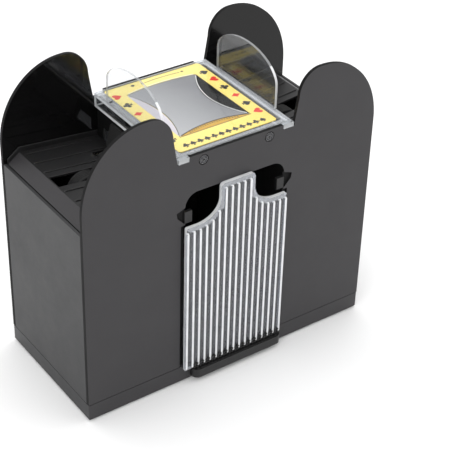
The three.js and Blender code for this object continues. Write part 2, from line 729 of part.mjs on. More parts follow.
add("front_panel", frontPanel(), "shell");
add("back_panel", backPanel(), "shell");
add("base_tray", baseTray(), "shell");
addPair("side_wall", sideWall(), "shell");
addPair("card_tray", cardTray(), "shell");
addPair("mechanism_frame", mechanismFrame(), "inner");
addPair("card_gate", cardGate(), "rubber");

const shaftEnds = [PLATE_FRONT[0] - 2, LAYER_A[1] + PIN_END];
addPair("feed_shaft", rod(SHAFT_R, ...AXIS.feed, shaftEnds, 12), "steel");
addPair("pickup_shaft", rod(SHAFT_R, ...AXIS.pickup, shaftEnds, 12), "steel");
addPair("feed_roller_front", roller(FEED.roller, ...AXIS.feed, FEED.rollerY[0], FEED.width), "rubber");
addPair("feed_roller_back", roller(FEED.roller, ...AXIS.feed, FEED.rollerY[1], FEED.width), "rubber");
addPair("pickup_roller", roller(PICKUP.roller, ...AXIS.pickup, RIDGE_OFFSET, PICKUP.width), "rubber");
addPair("feed_gear", gear(TEETH.feed, MODULE_A, PHASE.feed, ...AXIS.feed, LAYER_A), "gear");
addPair("idler_gear", gear(TEETH.idler, MODULE_A, PHASE.idler, ...AXIS.idler, LAYER_A), "gear");
addPair("pickup_gear", gear(TEETH.pickup, MODULE_A, PHASE.pickup, ...AXIS.pickup, LAYER_A), "gear");
addPair("reduction_gear", reductionGear(), "gear");
addPair("motor", motor(), "steel");
addPair("motor_pinion", motorPinion(), "gear");

add("top_cover", topCover(), "clear");
addPair("card_guide", cardGuide(), "clear");
add("label_sheet", labelSheet(), "label");
add("silver_panel", silverPanel(), "silver");
add("card_drawer", cardDrawer(), "clear");

add("circuit_board", circuitBoard(), "board");
add("usb_socket", usbSocket(), "steel");
add("start_switch", startSwitch(), "inner");
add("start_button", startButton(), "inner");
add("battery_cell", batteryCell(), "cell");
add("battery_cradle", batteryCradle(), "inner");

for (const [sideName, side] of [["left", -1], ["right", 1]]) {
  for (const [endName, end] of [["front", -1], ["back", 1]]) {
    add(`cover_screw_${endName}_${sideName}`, coverScrew(side, end), "steel");
    add(`base_screw_${endName}_${sideName}`, baseScrew(side, end), "steel");
    add(`foot_${endName}_${sideName}`, rubberFoot(side, end), "rubber");
  }
}

export default shuffler;
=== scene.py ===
"""Looks of the automatic card shuffler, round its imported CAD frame.

Lengths are millimetres while a mesh is drawn, and metres once it is a piece. +Z up, front at -Y.
"""

import math

import bmesh
import bpy
from mathutils import Matrix, Vector
from mathutils.geometry import tessellate_polygon

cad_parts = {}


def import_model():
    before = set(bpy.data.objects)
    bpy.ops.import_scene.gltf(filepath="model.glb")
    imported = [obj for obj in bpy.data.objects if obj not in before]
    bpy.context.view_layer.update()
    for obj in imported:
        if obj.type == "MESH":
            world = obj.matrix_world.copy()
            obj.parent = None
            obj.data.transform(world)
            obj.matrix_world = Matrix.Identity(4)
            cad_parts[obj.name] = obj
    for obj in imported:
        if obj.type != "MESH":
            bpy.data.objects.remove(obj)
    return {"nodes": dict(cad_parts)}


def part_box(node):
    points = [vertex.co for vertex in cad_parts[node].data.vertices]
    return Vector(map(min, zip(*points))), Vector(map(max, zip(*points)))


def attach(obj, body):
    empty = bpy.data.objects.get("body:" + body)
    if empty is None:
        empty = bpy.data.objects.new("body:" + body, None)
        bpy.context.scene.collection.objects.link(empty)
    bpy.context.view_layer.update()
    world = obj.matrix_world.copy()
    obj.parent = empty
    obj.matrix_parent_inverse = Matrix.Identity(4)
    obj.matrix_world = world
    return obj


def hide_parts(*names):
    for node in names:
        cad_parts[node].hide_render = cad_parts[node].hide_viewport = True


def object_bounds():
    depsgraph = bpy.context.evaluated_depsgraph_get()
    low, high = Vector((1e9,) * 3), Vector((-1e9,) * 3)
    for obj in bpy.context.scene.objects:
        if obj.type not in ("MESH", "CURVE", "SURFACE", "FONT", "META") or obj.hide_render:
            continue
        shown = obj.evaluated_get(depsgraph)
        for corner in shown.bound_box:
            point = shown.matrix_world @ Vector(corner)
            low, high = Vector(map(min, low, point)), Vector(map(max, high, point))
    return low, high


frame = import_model()
CAD_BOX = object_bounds()
MM = 0.001


# ---------------------------------------------------------------- dimensions
def cad(node):
    """Lowest and highest corner of a CAD node, in millimetres."""
    low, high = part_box(node)
    return low / MM, high / MM


PANEL_LOW, PANEL_HIGH = cad("front_panel")
HALF_W = PANEL_HIGH.x
HALF_D = cad("back_panel")[1].y
WALL = 2.5
INNER_Y = HALF_D - WALL  # inner face of the panels
CLEAR_Y = INNER_Y - 0.3  # how far a part between the panels reaches
SEAM = PANEL_LOW.z  # lower edge of the panels, above the plinth
HEIGHT = PANEL_HIGH.z
SIDE_TOP = cad("left_side_wall")[1].z
PAST = 1.0  # how far a cutting tool runs past the face it cuts

# panels
EAR_OUT_X, EAR_OUT_Z = 62, 148  # centre of the wide curve on an ear's outer side
EAR_IN_X, EAR_IN_Z, EAR_IN_R = 60, 180, 15.5  # the tight curve on its inner side
EAR_FOOT_X = 41.5
NOTCH_X, NOTCH_Z, BRIDGE_Z = 33.5, 162.0, 165.0
OPEN_HALF, OPEN_TOP, OPEN_R = 36.0, 140.0, 9.0
SCREW_X, SCREW_Z, SCREW_HEAD_R, SCREW_SHANK_R = 23.6, 160.3, 3.3, 1.7
RECESS = 1.4  # depth of the screw seats, the wedges and the drawer's rebate
REBATE_IN, REBATE_OUT, REBATE_TOP = 35, 38.9, 119
WEDGE = [(35.5, 131.5), (42, 129), (41.4, 125.5), (36.8, 120.5), (35.5, 120.5)]
STOP_X, STOP_Z = (36.3, 31), (120, 128)  # the drawer stops beside the opening
BUTTON_HOLE_R, RING_IN_R, RING_OUT_R, RING_DEEP = 6.5, 9.2, 10.2, 0.5

# base
PLINTH_TOP, PLINTH_LOW, SOLE_TOP = 11.5, 0.6, 2.0
PLINTH_WALL, PLINTH_R, CAVITY_R = 2, 0.8, 1.5
TONGUE_LEFT, TONGUE_RIGHT, TONGUE_BACK, TONGUE_CORNER_Y, TONGUE_R = -31, 37, -47, -50, 4
TONGUE_Z = (2.5, 8.8)
BASE_SCREW_X, BASE_SCREW_Y, BASE_SCREW_R, BASE_SCREW_DEEP = 44, 38, 3.4, 1.8
FOOT_X, FOOT_Y, FOOT_SEAT_R, FOOT_SEAT_DEEP = 93, 37, 6.3, 0.8
RAIL_X, RAIL_Z = (26, 29), (1, 13.3)
TOOTH_FIRST, TOOTH_SPREAD, TOOTH_COUNT, TOOTH_Y, TOOTH_Z = -27.6, 60.2, 24, -52.4, 8.4
BEAD = [(0.0, -0.9), (0.7, -0.6), (1.0, 0.0), (0.7, 0.6), (0.0, 0.9)]

# side walls and card trays
SIDE_WALL = 2
SIDE_RIB_Y, SIDE_RIB_HALF, SIDE_RIB_IN, SIDE_RIB_TOP = (-24, 0, 24), 1, 5, 128
TRAY_OUT, TRAY_CREST, TRAY_CREST_Z, TRAY_IN = 102.5, 94.5, 141.3, 39.9
TRAY_SLOPE, TRAY_THICK = 0.1, 1.6
PICKUP_SLOT_X, PICKUP_SLOT_Y = (93.5, 52), (-2, 10)
FEED_SLOT_X, FEED_SLOT_Y, FEED_SLOT_HALF = (54.8, 41.8), (-19, 19), 7
TRAY_CUT_Z = (120, 150)
RIDGE_PITCH, RIDGE_OFFSET, RIDGE_HALF, RIDGE_RISE, RIDGE_SINK = 12, 4, 0.7, 0.7, 0.3
BAND_THICK, BAND_SINK, BAND_RISE = 1.2, 0.5, 3.4

# cover, label and guides
COVER_HALF, PLATE_LOW, PLATE_HIGH, SKIRT_LOW, SKIRT = 41.0, 163.0, 165.5, 156.0, 1.8
LABEL_TOP = 164.7  # the label lies in a pocket under the plate's thin middle
LABEL_HALF_X, LABEL_HALF_Y, LABEL_Y, LABEL_R = 35, 42.2, 2.2, 2
LABEL_THICK, SILVER_THICK = 0.5, 0.7
POCKET_HALF_X, POCKET_HALF_Y, POCKET_Y, POCKET_GAP = 37, 44.2, 0.6, 0.15
WINDOW_HALF_X, WINDOW_HALF_Y, WINDOW_Y, WINDOW_R = 36.2, 43.4, 0.9, 1.5
BORDER_HALF_Y, BORDER_R = 45.0, 0.8
LUG_HALF, LUG_DEEP, LUG_Z, LUG_BORE_R = 3, 7, (157.2, 161.8), 1.6
GUIDE_SHOULDER = 181.0
PEG_Y, PEG_RISE, PEG_R, PEG_HEAD = (-27.5, 26), 2.2, 0.6, 0.15
STAR = {"x": 25.6, "y": 29.4, "mid": 3.7, "right": 10.5, "left": 7.0, "front": 5.0, "back": -2.5}

# drawer
D_HALF, D_FACE, D_LOW, D_SHOULDER, D_TOP, D_TAB = 36.7, -50.8, 9.5, 118.0, 141.0, 12.3
D_REAR = -HALF_D - 0.3
D_SWEEP, D_SWEEP_R = 8, 13  # the hollow curve from a shoulder up to the tab
D_EDGE_R, D_TAB_R = 0.8, 2.5
BOX_HALF, BOX_WALL, BOX_LOW, BOX_TOP, BOX_BACK = 34.5, 1.5, 13.6, 38, 42
RIBS, RIB_R, RIB_MARGIN = 17, 1.25, 0.7
BEAD_ROWS_Z, BEADS_FROM, BEADS_TO = (10.7, 12.8), -31.5, 35

# rollers and feet
ROLLER_BORE_R, TREAD_MARGIN, TREAD_PITCH, TREAD_DEEP = 1.85, 0.8, 1.4, 0.3


# ---------------------------------------------------------------- outlines
def arc(cx, cy, rx, ry, start, end, steps):
    out = []
    for i in range(steps + 1):
        a = math.radians(start + (end - start) * i / steps)
        out.append((cx + rx * math.cos(a), cy + ry * math.sin(a)))
    return out


def mirror(points):
    return [(-x, y) for x, y in reversed(points)]


def rounded(hx, hy, r, steps=8, cx=0.0, cy=0.0):
    out = []
    for sx, sy, a in ((1, 1, 0), (-1, 1, 90), (-1, -1, 180), (1, -1, 270)):
        out += arc(cx + sx * (hx - r), cy + sy * (hy - r), r, r, a, a + 90, steps)
    return out


def circle(cx, cy, r, steps=32):
    return arc(cx, cy, r, r, 0, 360, steps)[:-1]


def rect(x0, x1, y0, y1):
    return [(x0, y0), (x1, y0), (x1, y1), (x0, y1)]


def thinned(points):
    """The outline without repeated points."""
    out = []
    for p in points:
        if not out or math.dist(p, out[-1]) > 1e-4:
            out.append(p)
    if math.dist(out[0], out[-1]) < 1e-4:
        out.pop()
    return out


# ---------------------------------------------------------------- solids
AXES = {
    "x": lambda a, b, d: (d, a, b),
    "y": lambda a, b, d: (a, d, b),
    "z": lambda a, b, d: (a, b, d),
}


def to_mesh(bm):
    bmesh.ops.recalc_face_normals(bm, faces=bm.faces)
    mesh = bpy.data.meshes.new("solid")
    bm.to_mesh(mesh)
    bm.free()
    return mesh


def prism(outline, axis, low, high, holes=()):
    put = AXES[axis]
    loops = [thinned(points) for points in (outline, *holes)]
    flat = [p for loop in loops for p in loop]
    bm = bmesh.new()
    rows = [[bm.verts.new(put(a, b, d)) for a, b in flat] for d in (low, high)]
    corners = [[Vector((a, b, 0)) for a, b in loop] for loop in loops]
    for triangle in tessellate_polygon(corners):
        for row in rows:
            bm.faces.new([row[i] for i in triangle])
    start = 0
    for loop in loops:
        n = len(loop)
        for i in range(n):
            a, b = start + i, start + (i + 1) % n
            bm.faces.new((rows[0][a], rows[0][b], rows[1][b], rows[1][a]))
        start += n
    bmesh.ops.recalc_face_normals(bm, faces=bm.faces)
    flat_edges = bm.edges[:]
    bmesh.ops.dissolve_limit(
        bm, angle_limit=0.005, use_dissolve_boundaries=False, verts=[], edges=flat_edges
    )
    return to_mesh(bm)


def sided(side, a, b):
    """The span from a to b, on the left for side -1 and on the right for side 1."""
    return sorted((side * a, side * b))


def block(x, y, z):
    return prism(rect(x[0], x[1], y[0], y[1]), "z", z[0], z[1])


def revolve(profile, steps, place):
    """Turns a closed profile of (radius, height) round the axis. place(a, b, h) gives the point."""
    bm = bmesh.new()
    rings = []
    for radius, height in profile:
        if radius < 1e-6:
            rings.append([bm.verts.new(place(0.0, 0.0, height))])
            continue
        ring = []
        for i in range(steps):
            a = 2 * math.pi * i / steps
            ring.append(bm.verts.new(place(radius * math.cos(a), radius * math.sin(a), height)))
        rings.append(ring)
    closed = profile[0][0] > 1e-6
    pairs = list(zip(rings, rings[1:] + rings[:1])) if closed else list(zip(rings, rings[1:]))
    for one, two in pairs:
        for i in range(steps):
            j = (i + 1) % steps
            if len(one) == 1:
                bm.faces.new((one[0], two[j], two[i]))
            elif len(two) == 1:
                bm.faces.new((one[i], one[j], two[0]))
            else:
                bm.faces.new((one[i], one[j], two[j], two[i]))
    return to_mesh(bm)


def together(*meshes):
    """One mesh that holds all of these, without cutting them."""
    bm = bmesh.new()
    for mesh in meshes:
        bm.from_mesh(mesh)
        bpy.data.meshes.remove(mesh)
    mesh = bpy.data.meshes.new("solid")
    bm.to_mesh(mesh)
    bm.free()
    return mesh


def combine(base, tools, operation):
    """Adds to or cuts from base, with exact booleans."""
    holder = bpy.data.objects.new("base", base)
    bpy.context.collection.objects.link(holder)
    cutters = []
    for tool in tools:
        cutter = bpy.data.objects.new("tool", tool)
        bpy.context.collection.objects.link(cutter)
        modifier = holder.modifiers.new("cut", "BOOLEAN")
        modifier.operation = operation
        modifier.solver = "EXACT"
        modifier.object = cutter
        cutters.append(cutter)
    graph = bpy.context.evaluated_depsgraph_get()
    graph.update()
    made = bpy.data.meshes.new_from_object(holder.evaluated_get(graph))
    for o in [holder, *cutters]:
        old = o.data
        bpy.data.objects.remove(o)
        bpy.data.meshes.remove(old)
    return made


def carve(base, *tools):
    return combine(base, tools, "DIFFERENCE")


def weld(base, *tools):
    return combine(base, tools, "UNION")


def paint(mesh, rule):
    """Gives each face the material index that rule(normal, centre) returns."""
    for face in mesh.polygons:
        face.material_index = rule(face.normal, face.center)
    return mesh


def piece(name, mesh, body, materials, replaces=(), bevel=0.3, segments=3, sharp=38):
    mesh.transform(Matrix.Scale(MM, 4))
    mesh.name = name
    obj = bpy.data.objects.new(name, mesh)
    bpy.context.collection.objects.link(obj)
    for material in materials:
        mesh.materials.append(material)
    for face in mesh.polygons:
        face.use_smooth = True
    if bevel:
        soften(obj, bevel, segments, sharp)
    else:
        mesh.set_sharp_from_angle(angle=math.radians(sharp))
    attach(obj, body)
    if replaces:
        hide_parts(*replaces)
    return obj


def soften(obj, width, segments=3, sharp=38):
    modifier = obj.modifiers.new("edges", "BEVEL")
    modifier.width = width * MM
    modifier.segments = segments
    modifier.limit_method = "ANGLE"
    modifier.angle_limit = math.radians(sharp)
    modifier.harden_normals = True
    modifier.use_clamp_overlap = True


# ---------------------------------------------------------------- materials
class Graph:
    """A short way to write a node material."""

    def __init__(self, name):
        self.material = bpy.data.materials.new(name)
        self.material.use_nodes = True
        self.tree = self.material.node_tree
        self.tree.nodes.clear()
        self.place = self.node("TexCoord").outputs["Object"]

    def node(self, kind, sockets=None, **settings):
        made = self.tree.nodes.new("ShaderNode" + kind)
        for key, value in settings.items():
            setattr(made, key, value)
        for key, value in (sockets or {}).items():
            self.put(made.inputs[key], value)
        return made

    def put(self, socket, value):
        if isinstance(value, bpy.types.NodeSocket):
            self.tree.links.new(value, socket)
        else:
            socket.default_value = value

    def scaled(self, x, y, z):
        return self.node("Mapping", {"Vector": self.place, "Scale": (x, y, z)}).outputs[0]

    def noise(self, scale, detail=2.0, vector=None, roughness=0.5):
        sockets = {"Vector": vector or self.place, "Scale": scale}
        sockets |= {"Detail": detail, "Roughness": roughness}
        return self.node("TexNoise", sockets).outputs["Fac"]

    def span(self, value, low, high, from_low=0.0, from_high=1.0):
        """Takes value from the range from_low to from_high into the range low to high."""
        sockets = {"Value": value, "From Min": from_low, "From Max": from_high}
        sockets |= {"To Min": low, "To Max": high}
        return self.node("MapRange", sockets).outputs[0]

    def math(self, operation, a, b=0.0):
        return self.node("Math", {0: a, 1: b}, operation=operation).outputs[0]

    def mix(self, factor, a, b):
        made = self.node("Mix", data_type="RGBA")
        for index, value in ((0, factor), (6, a), (7, b)):
            if isinstance(value, tuple) and len(value) == 3:
                value = (*value, 1.0)
            self.put(made.inputs[index], value)
        return made.outputs[2]

    def bump(self, height, strength, distance):
        sockets = {"Height": height, "Strength": strength, "Distance": distance}
        return self.node("Bump", sockets).outputs[0]

    def edges(self, radius):
        """1 on an edge, 0 on flat ground."""
        bevel = self.node("Bevel", {"Radius": radius}, samples=4).outputs[0]
        normal = self.node("NewGeometry").outputs["Normal"]
        dot = self.node("VectorMath", {0: bevel, 1: normal}, operation="DOT_PRODUCT").outputs["Value"]
        return self.span(dot, 1.0, 0.0, 0.75, 0.99)

    def schlick(self, strength=1.0):
        """How much a clear face mirrors: little when seen square on, much when seen along it."""
        facing = self.node("LayerWeight", {"Blend": 0.5}).outputs["Facing"]
        return self.span(self.math("POWER", facing, 5.0), 0.045 * strength, 0.8 * strength)

    def surface(self, sockets):
        return self.node("BsdfPrincipled", sockets).outputs[0]

    def finish(self, shader):
        self.node("OutputMaterial", {"Surface": shader})
        return self.material


def shade(color, factor):
    return tuple(c * factor for c in color)


def moulded(name, color, rough, grain=1500.0, depth=0.12, edge_wear_and_glint=0.35, spread=0.05, specular=0.35):
    """Moulded plastic: fine spark-eroded grain, slow colour drift, scuffs and paler edges."""
    g = Graph(name)
    fine = g.noise(grain, 3.0)
    broad = g.noise(18.0, 3.0)
    scuff = g.noise(45.0, 5.0, None, 0.7)
    body = g.mix(broad, shade(color, 1 - spread), shade(color, 1 + spread))
    speck = g.mix(g.span(fine, 0.0, 0.35, 0.45, 0.75), body, shade(color, 1.35))
    worn = g.mix(g.math("MULTIPLY", g.edges(0.0007), edge_wear_and_glint), speck, shade(color, 2.6))
    roughness = g.span(scuff, rough - 0.04, rough + 0.05, 0.3, 0.7)
    return g.finish(
        g.surface(
            {
                "Base Color": worn,
                "Roughness": roughness,
                "Specular IOR Level": specular,
                "Normal": g.bump(fine, depth, 0.0001),
            }
        )
    )


def pane(name, tint, haze, rough=0.05, strength=1.0):
    """Clear moulded plastic: see-through face on, glossy along it, with faint scratches."""
    g = Graph(name)
    scratch = g.noise(90.0, 6.0, g.scaled(0.3, 2.2, 1.0), 0.75)
    streak = g.noise(240.0, 3.0, g.scaled(3.0, 0.2, 0.4))
    marks = g.math("MULTIPLY", g.span(scratch, 0.0, 1.0, 0.55, 0.8), g.span(streak, 0.2, 1.0, 0.4, 0.7))
    gloss = g.node("BsdfGlossy", {"Color": (1, 1, 1, 1), "Roughness": rough}).outputs[0]
    clear = g.node("BsdfTransparent", {"Color": (*tint, 1)}).outputs[0]
    dust = g.node("BsdfDiffuse", {"Color": (0.85, 0.87, 0.9, 1)}).outputs[0]
    shiny = g.node("MixShader", {0: g.schlick(strength), 1: clear, 2: gloss}).outputs[0]
    cover = g.math("ADD", g.math("MULTIPLY", marks, 0.05), haze)
    return g.finish(g.node("MixShader", {0: cover, 1: shiny, 2: dust}).outputs[0])


def rim(name, color, solid, rough=0.25):
    """The bright edge of a clear sheet: a painted highlight that stands in for the light led through the
    sheet and coming out at its edge.
    """
    g = Graph(name)
    vary = g.noise(120.0, 3.0)
    bright = g.mix(vary, shade(color, 0.9), color)
    lit = g.surface({"Base Color": bright, "Roughness": rough, "Specular IOR Level": 0.7})
    clear = g.node("BsdfTransparent", {"Color": (0.95, 0.97, 0.98, 1)}).outputs[0]
    fac = g.span(vary, solid * 0.95, min(1.0, solid * 1.05), 0.3, 0.7)
    return g.finish(g.node("MixShader", {0: fac, 1: clear, 2: lit}).outputs[0])


def metal(name, color, rough, stretch=(1.0, 1.0, 40.0), grain=300.0, depth=0.05, edge_wear_and_glint=0.0, metallic=1.0):
    """Drawn or brushed metal with streaks along one way and slight tarnish."""
    g = Graph(name)
    streak = g.noise(grain, 4.0, g.scaled(*stretch))
    tarnish = g.noise(40.0, 4.0)
    tone = g.mix(streak, shade(color, 0.86), shade(color, 1.08))
    tone = g.mix(g.span(tarnish, 0.0, 0.3, 0.5, 0.8), tone, shade(color, 0.6))
    # paler edges; on the screws, the only metal that asks for them, they are a painted highlight
    if edge_wear_and_glint:
        tone = g.mix(g.math("MULTIPLY", g.edges(0.0004), edge_wear_and_glint), tone, (0.5, 0.5, 0.5))
    return g.finish(
        g.surface(
            {
                "Base Color": tone,
                "Metallic": metallic,
                "Roughness": g.span(streak, rough - 0.07, rough + 0.07),
                "Normal": g.bump(streak, depth, 0.0001),
            }
        )
    )


def rubber(name, color, rough=0.8):
    g = Graph(name)
    fine = g.noise(900.0, 4.0)
    dust = g.noise(70.0, 5.0, None, 0.7)
    tone = g.mix(g.span(dust, 0.0, 0.35, 0.5, 0.75), color, shade(color, 3.0))
    return g.finish(
        g.surface(
            {
                "Base Color": tone,
                "Roughness": g.span(fine, rough - 0.08, min(1.0, rough + 0.1)),
                "Specular IOR Level": 0.3,
                "Normal": g.bump(fine, 0.25, 0.0002),
            }
        )
    )


def print_ink(name, color, drift=0.06, rough=0.42, coat=0.0):
    """Printed card: faint fibres, a fine dot screen and slight uneven ink."""
    g = Graph(name)
    fibre = g.noise(700.0, 4.0, g.scaled(1.0, 0.35, 1.0))
    cloud = g.noise(22.0, 2.0)
    screen = g.node("TexVoronoi", {"Vector": g.place, "Scale": 2600.0}).outputs["Distance"]
    tone = g.mix(cloud, shade(color, 1 - drift), shade(color, 1 + drift))
    tone = g.mix(g.span(screen, 0.0, 0.08, 0.3, 0.8), tone, shade(color, 0.8))
    return g.finish(
        g.surface(
            {
                "Base Color": g.mix(g.span(fibre, 0.0, 0.1), tone, shade(color, 0.75)),
                "Roughness": g.span(fibre, rough - 0.05, rough + 0.08),
                "Normal": g.bump(fibre, 0.06, 0.0001),
                "Coat Weight": coat,
            }
        )
    )


SHELL = moulded("shell_outer", (0.030, 0.0287, 0.0307), 0.5, edge_wear_and_glint=0.1)
# a darker copy of the shell for faces that look sideways: painted shade
SHELL_SIDE = moulded("shell_side", (0.0255, 0.0255, 0.027), 0.46, edge_wear_and_glint=0.2)
# a glossy copy of the shell for inner faces, its colour darkened to near black as painted shade
SHELL_INNER = moulded("shell_inner", (0.0038, 0.0037, 0.0038), 0.07, 700.0, 0.006, 0.0, specular=0.3)
# painted shade: a near-black copy of the shell for the panels' edges and the floors of their recesses
SHELL_EDGE_SHADE = moulded("shell_edge_shade", (0.006, 0.0058, 0.006), 0.6, 900.0, 0.05, 0.05, specular=0.12)
TRAY = moulded("tray_black", (0.010, 0.0098, 0.0102), 0.42, 900.0, 0.08, 0.5, specular=0.4)
INNER = moulded("inner_black", (0.006, 0.006, 0.0062), 0.4, 900.0, 0.03, 0.1)
PANE = pane("clear_pane", (0.98, 0.985, 0.99), 0.006, strength=0.4)
GUIDE_PANE = pane("guide_pane", (0.96, 0.965, 0.97), 0.012, strength=0.8)
RIM = rim("clear_rim", (0.92, 0.93, 0.94), 0.75)
SOFT_RIM = rim("clear_soft_rim", (0.8, 0.81, 0.82), 0.35)
# a grey painted shade for the card guides' edges
GREY_RIM = rim("guide_grey_rim", (0.38, 0.39, 0.4), 0.55)
DRAWER_PANE = pane("drawer_pane", (0.9, 0.91, 0.93), 0.03, 0.12)
DRAWER_FROST = pane("drawer_frost", (0.9, 0.91, 0.93), 0.2, 0.3)
DRAWER_SIDE = pane("drawer_rib_side", (0.85, 0.86, 0.89), 0.045, 0.1)
# a dim painted highlight for the edges of the drawer's box
BOX_RIM = rim("drawer_box_rim", (0.8, 0.81, 0.83), 0.14, 0.15)
# a painted highlight along the crests of the drawer's ribs
RIB_HIGHLIGHT = rim("drawer_rib_highlight", (0.87, 0.88, 0.9), 0.85, 0.12)
COVER_FROST = pane("cover_frost", (0.9, 0.91, 0.92), 0.2, 0.2, 0.5)
RUBBER = rubber("roller_rubber", (0.012, 0.012, 0.012))
NYLON = moulded("gear_nylon", (0.62, 0.59, 0.48), 0.5, 1200.0, 0.05, 0.0, 0.04)
STEEL = metal("shaft_steel", (0.5, 0.5, 0.52), 0.3, (1.0, 0.05, 1.0))
CAN = metal("motor_can", (0.42, 0.42, 0.44), 0.38, (1.0, 0.1, 1.0))
# the screws' paler edges are a painted highlight
SCREW = metal("screw_black", (0.06, 0.06, 0.065), 0.3, (1.0, 1.0, 1.0), 500.0, 0.08, 1.0)
NICKEL = metal("socket_nickel", (0.55, 0.54, 0.52), 0.25)


def silver_foil():
    """Satin silver foil with fine brushing and a painted sheen: pale at the left and front, grey towards
    the right and back.
    """
    g = Graph("silver_foil")
    brush = g.noise(260.0, 5.0, g.scaled(0.12, 3.0, 1.0), 0.6)
    cloud = g.noise(16.0, 2.0)
    axes = g.node("SeparateXYZ", {"Vector": g.place}).outputs
    # painted sheen: pale at the left and front, grey towards the right and back
    slope = g.math("ADD", axes["X"], g.math("MULTIPLY", axes["Y"], 0.4))
    sheen = g.math("ADD", g.span(slope, 0.0, 0.85, -0.03, 0.025), g.math("MULTIPLY", cloud, 0.2))
    tone = g.mix(sheen, (0.55, 0.55, 0.555), (0.17, 0.17, 0.18))
    tone = g.mix(g.span(brush, 0.0, 0.4), tone, (0.36, 0.36, 0.37))
    return g.finish(
        g.surface(
            {
                "Base Color": tone,
                "Metallic": 0.55,
                "Roughness": g.span(brush, 0.3, 0.48),
                "Normal": g.bump(brush, 0.05, 0.0001),
            }
        )
    )


def label_paper():
    """Pale yellow print, warmer towards the front right."""
    g = Graph("label_paper")
    axes = g.node("SeparateXYZ", {"Vector": g.place}).outputs
    slope = g.math("SUBTRACT", axes["X"], g.math("MULTIPLY", axes["Y"], 0.8))
    warm = g.span(slope, 0.0, 1.0, -0.06, 0.06)
    fibre = g.noise(700.0, 4.0, g.scaled(1.0, 0.35, 1.0))
    tone = g.mix(warm, (0.95, 0.80, 0.27), (0.93, 0.70, 0.155))
    tone = g.mix(g.span(fibre, 0.0, 0.12), tone, (0.8, 0.6, 0.14))
    return g.finish(
        g.surface(
            {
                "Base Color": tone,
                "Roughness": g.span(fibre, 0.36, 0.5),
                "Normal": g.bump(fibre, 0.05, 0.0001),
            }
        )
    )


FOIL = silver_foil()
PAPER = label_paper()
RED_INK = print_ink("ink_red", (0.74, 0.022, 0.006))
BLACK_INK = print_ink("ink_black", (0.008, 0.008, 0.008))
# painted reflection: the yellow label mirrored gold in the clear cover
GOLD_REFLECTION = print_ink("painted_gold_reflection", (0.6, 0.34, 0.025), 0.12)
# a white painted highlight
WHITE_HIGHLIGHT = print_ink("painted_white_highlight", (0.85, 0.85, 0.82))
# a pale cream painted highlight
PALE_HIGHLIGHT = print_ink("painted_pale_highlight", (0.9, 0.86, 0.62))
LILAC_INK = print_ink("ink_lilac", (0.62, 0.58, 0.62), 0.08)


def solder_mask():
    g = Graph("solder_mask")
    grid = {"Vector": g.place, "Scale": 240.0, "Mortar Size": 0.012}
    tracks = g.node("TexBrick", grid).outputs["Fac"]
    tone = g.mix(tracks, (0.012, 0.09, 0.03), (0.03, 0.18, 0.06))
    relief = g.bump(tracks, 0.2, 0.0002)
    return g.finish(g.surface({"Base Color": tone, "Roughness": 0.35, "Normal": relief}))


def cell_wrap():
    g = Graph("cell_wrap")
    crease = g.noise(160.0, 4.0, g.scaled(1.0, 0.1, 1.0))
    tone = g.mix(crease, (0.012, 0.06, 0.25), (0.02, 0.10, 0.36))
    relief = g.bump(crease, 0.15, 0.0002)
    return g.finish(g.surface({"Base Color": tone, "Roughness": 0.3, "Normal": relief}))


MASK = solder_mask()
WRAP = cell_wrap()


# ---------------------------------------------------------------- panels
def ear_outline():
    half = [
        (-HALF_W, SEAM),
        *arc(-EAR_OUT_X, EAR_OUT_Z, HALF_W - EAR_OUT_X, HEIGHT - EAR_OUT_Z, 180, 90, 40),
        *arc(-EAR_IN_X, EAR_IN_Z, EAR_IN_R, HEIGHT - EAR_IN_Z, 90, 0, 20),
        (-EAR_FOOT_X, NOTCH_Z),
        (-NOTCH_X, NOTCH_Z),
        (-NOTCH_X, BRIDGE_Z),
    ]
    return half + mirror(half)


def opening_outline():
    """The drawer opening, which runs out of the panel's lower edge."""
    corner = arc(-OPEN_HALF + OPEN_R, OPEN_TOP - OPEN_R, OPEN_R, OPEN_R, 180, 90, 12)
    half = [(-OPEN_HALF, SEAM), *corner]
    return half + mirror(half)


def hole(x, z, r, low, high, steps=28):
    return prism(circle(x, z, r, steps), "y", low, high)


def screw_holes(x, end):
    """The seat and the bore of a cover screw, in the front (-1) or the back (1) panel."""
    seat = sided(end, HALF_D - RECESS, HALF_D + PAST)
    bore = sided(end, INNER_Y - PAST, HALF_D + PAST)
    return [hole(x, SCREW_Z, SCREW_HEAD_R, *seat), hole(x, SCREW_Z, SCREW_SHANK_R, *bore)]


def front_panel():
    outer = ear_outline()[:-1] + [(HALF_W, SEAM)]
    mesh = prism(outer + list(reversed(opening_outline())), "y", -HALF_D, -INNER_Y)
    sunk = (-HALF_D - PAST, -HALF_D + RECESS)
    tools = []
    for side in (-1, 1):
        tools += screw_holes(side * SCREW_X, -1)
        tools.append(prism([(side * x, z) for x, z in WEDGE], "y", *sunk))
        # a shallow rebate beside the drawer; its floor gets painted shade for the dark gap there
        tools.append(block(sided(side, REBATE_IN, REBATE_OUT), sunk, (SEAM - PAST, REBATE_TOP)))
    mesh = carve(mesh, *tools)
    # the outer face is shell and the inner face near black; every other face, the edges and the floors
    # of the screw seats, wedges and rebate, gets painted shade
    paint(mesh, lambda n, c: 0 if n.y < -0.5 and c.y < -HALF_D + 0.1 else (1 if n.y > 0.5 else 3))
    stops = []
    for side in (-1, 1):
        stop = block(sided(side, *STOP_X), (-HALF_D + 0.2, -INNER_Y), STOP_Z)
        stops.append(paint(stop, lambda n, c: 2))
    looks = [SHELL, SHELL_INNER, TRAY, SHELL_EDGE_SHADE]
    mesh = together(mesh, *stops)
    piece("front_panel_shell", mesh, "shell", looks, ["front_panel"], 0.3)


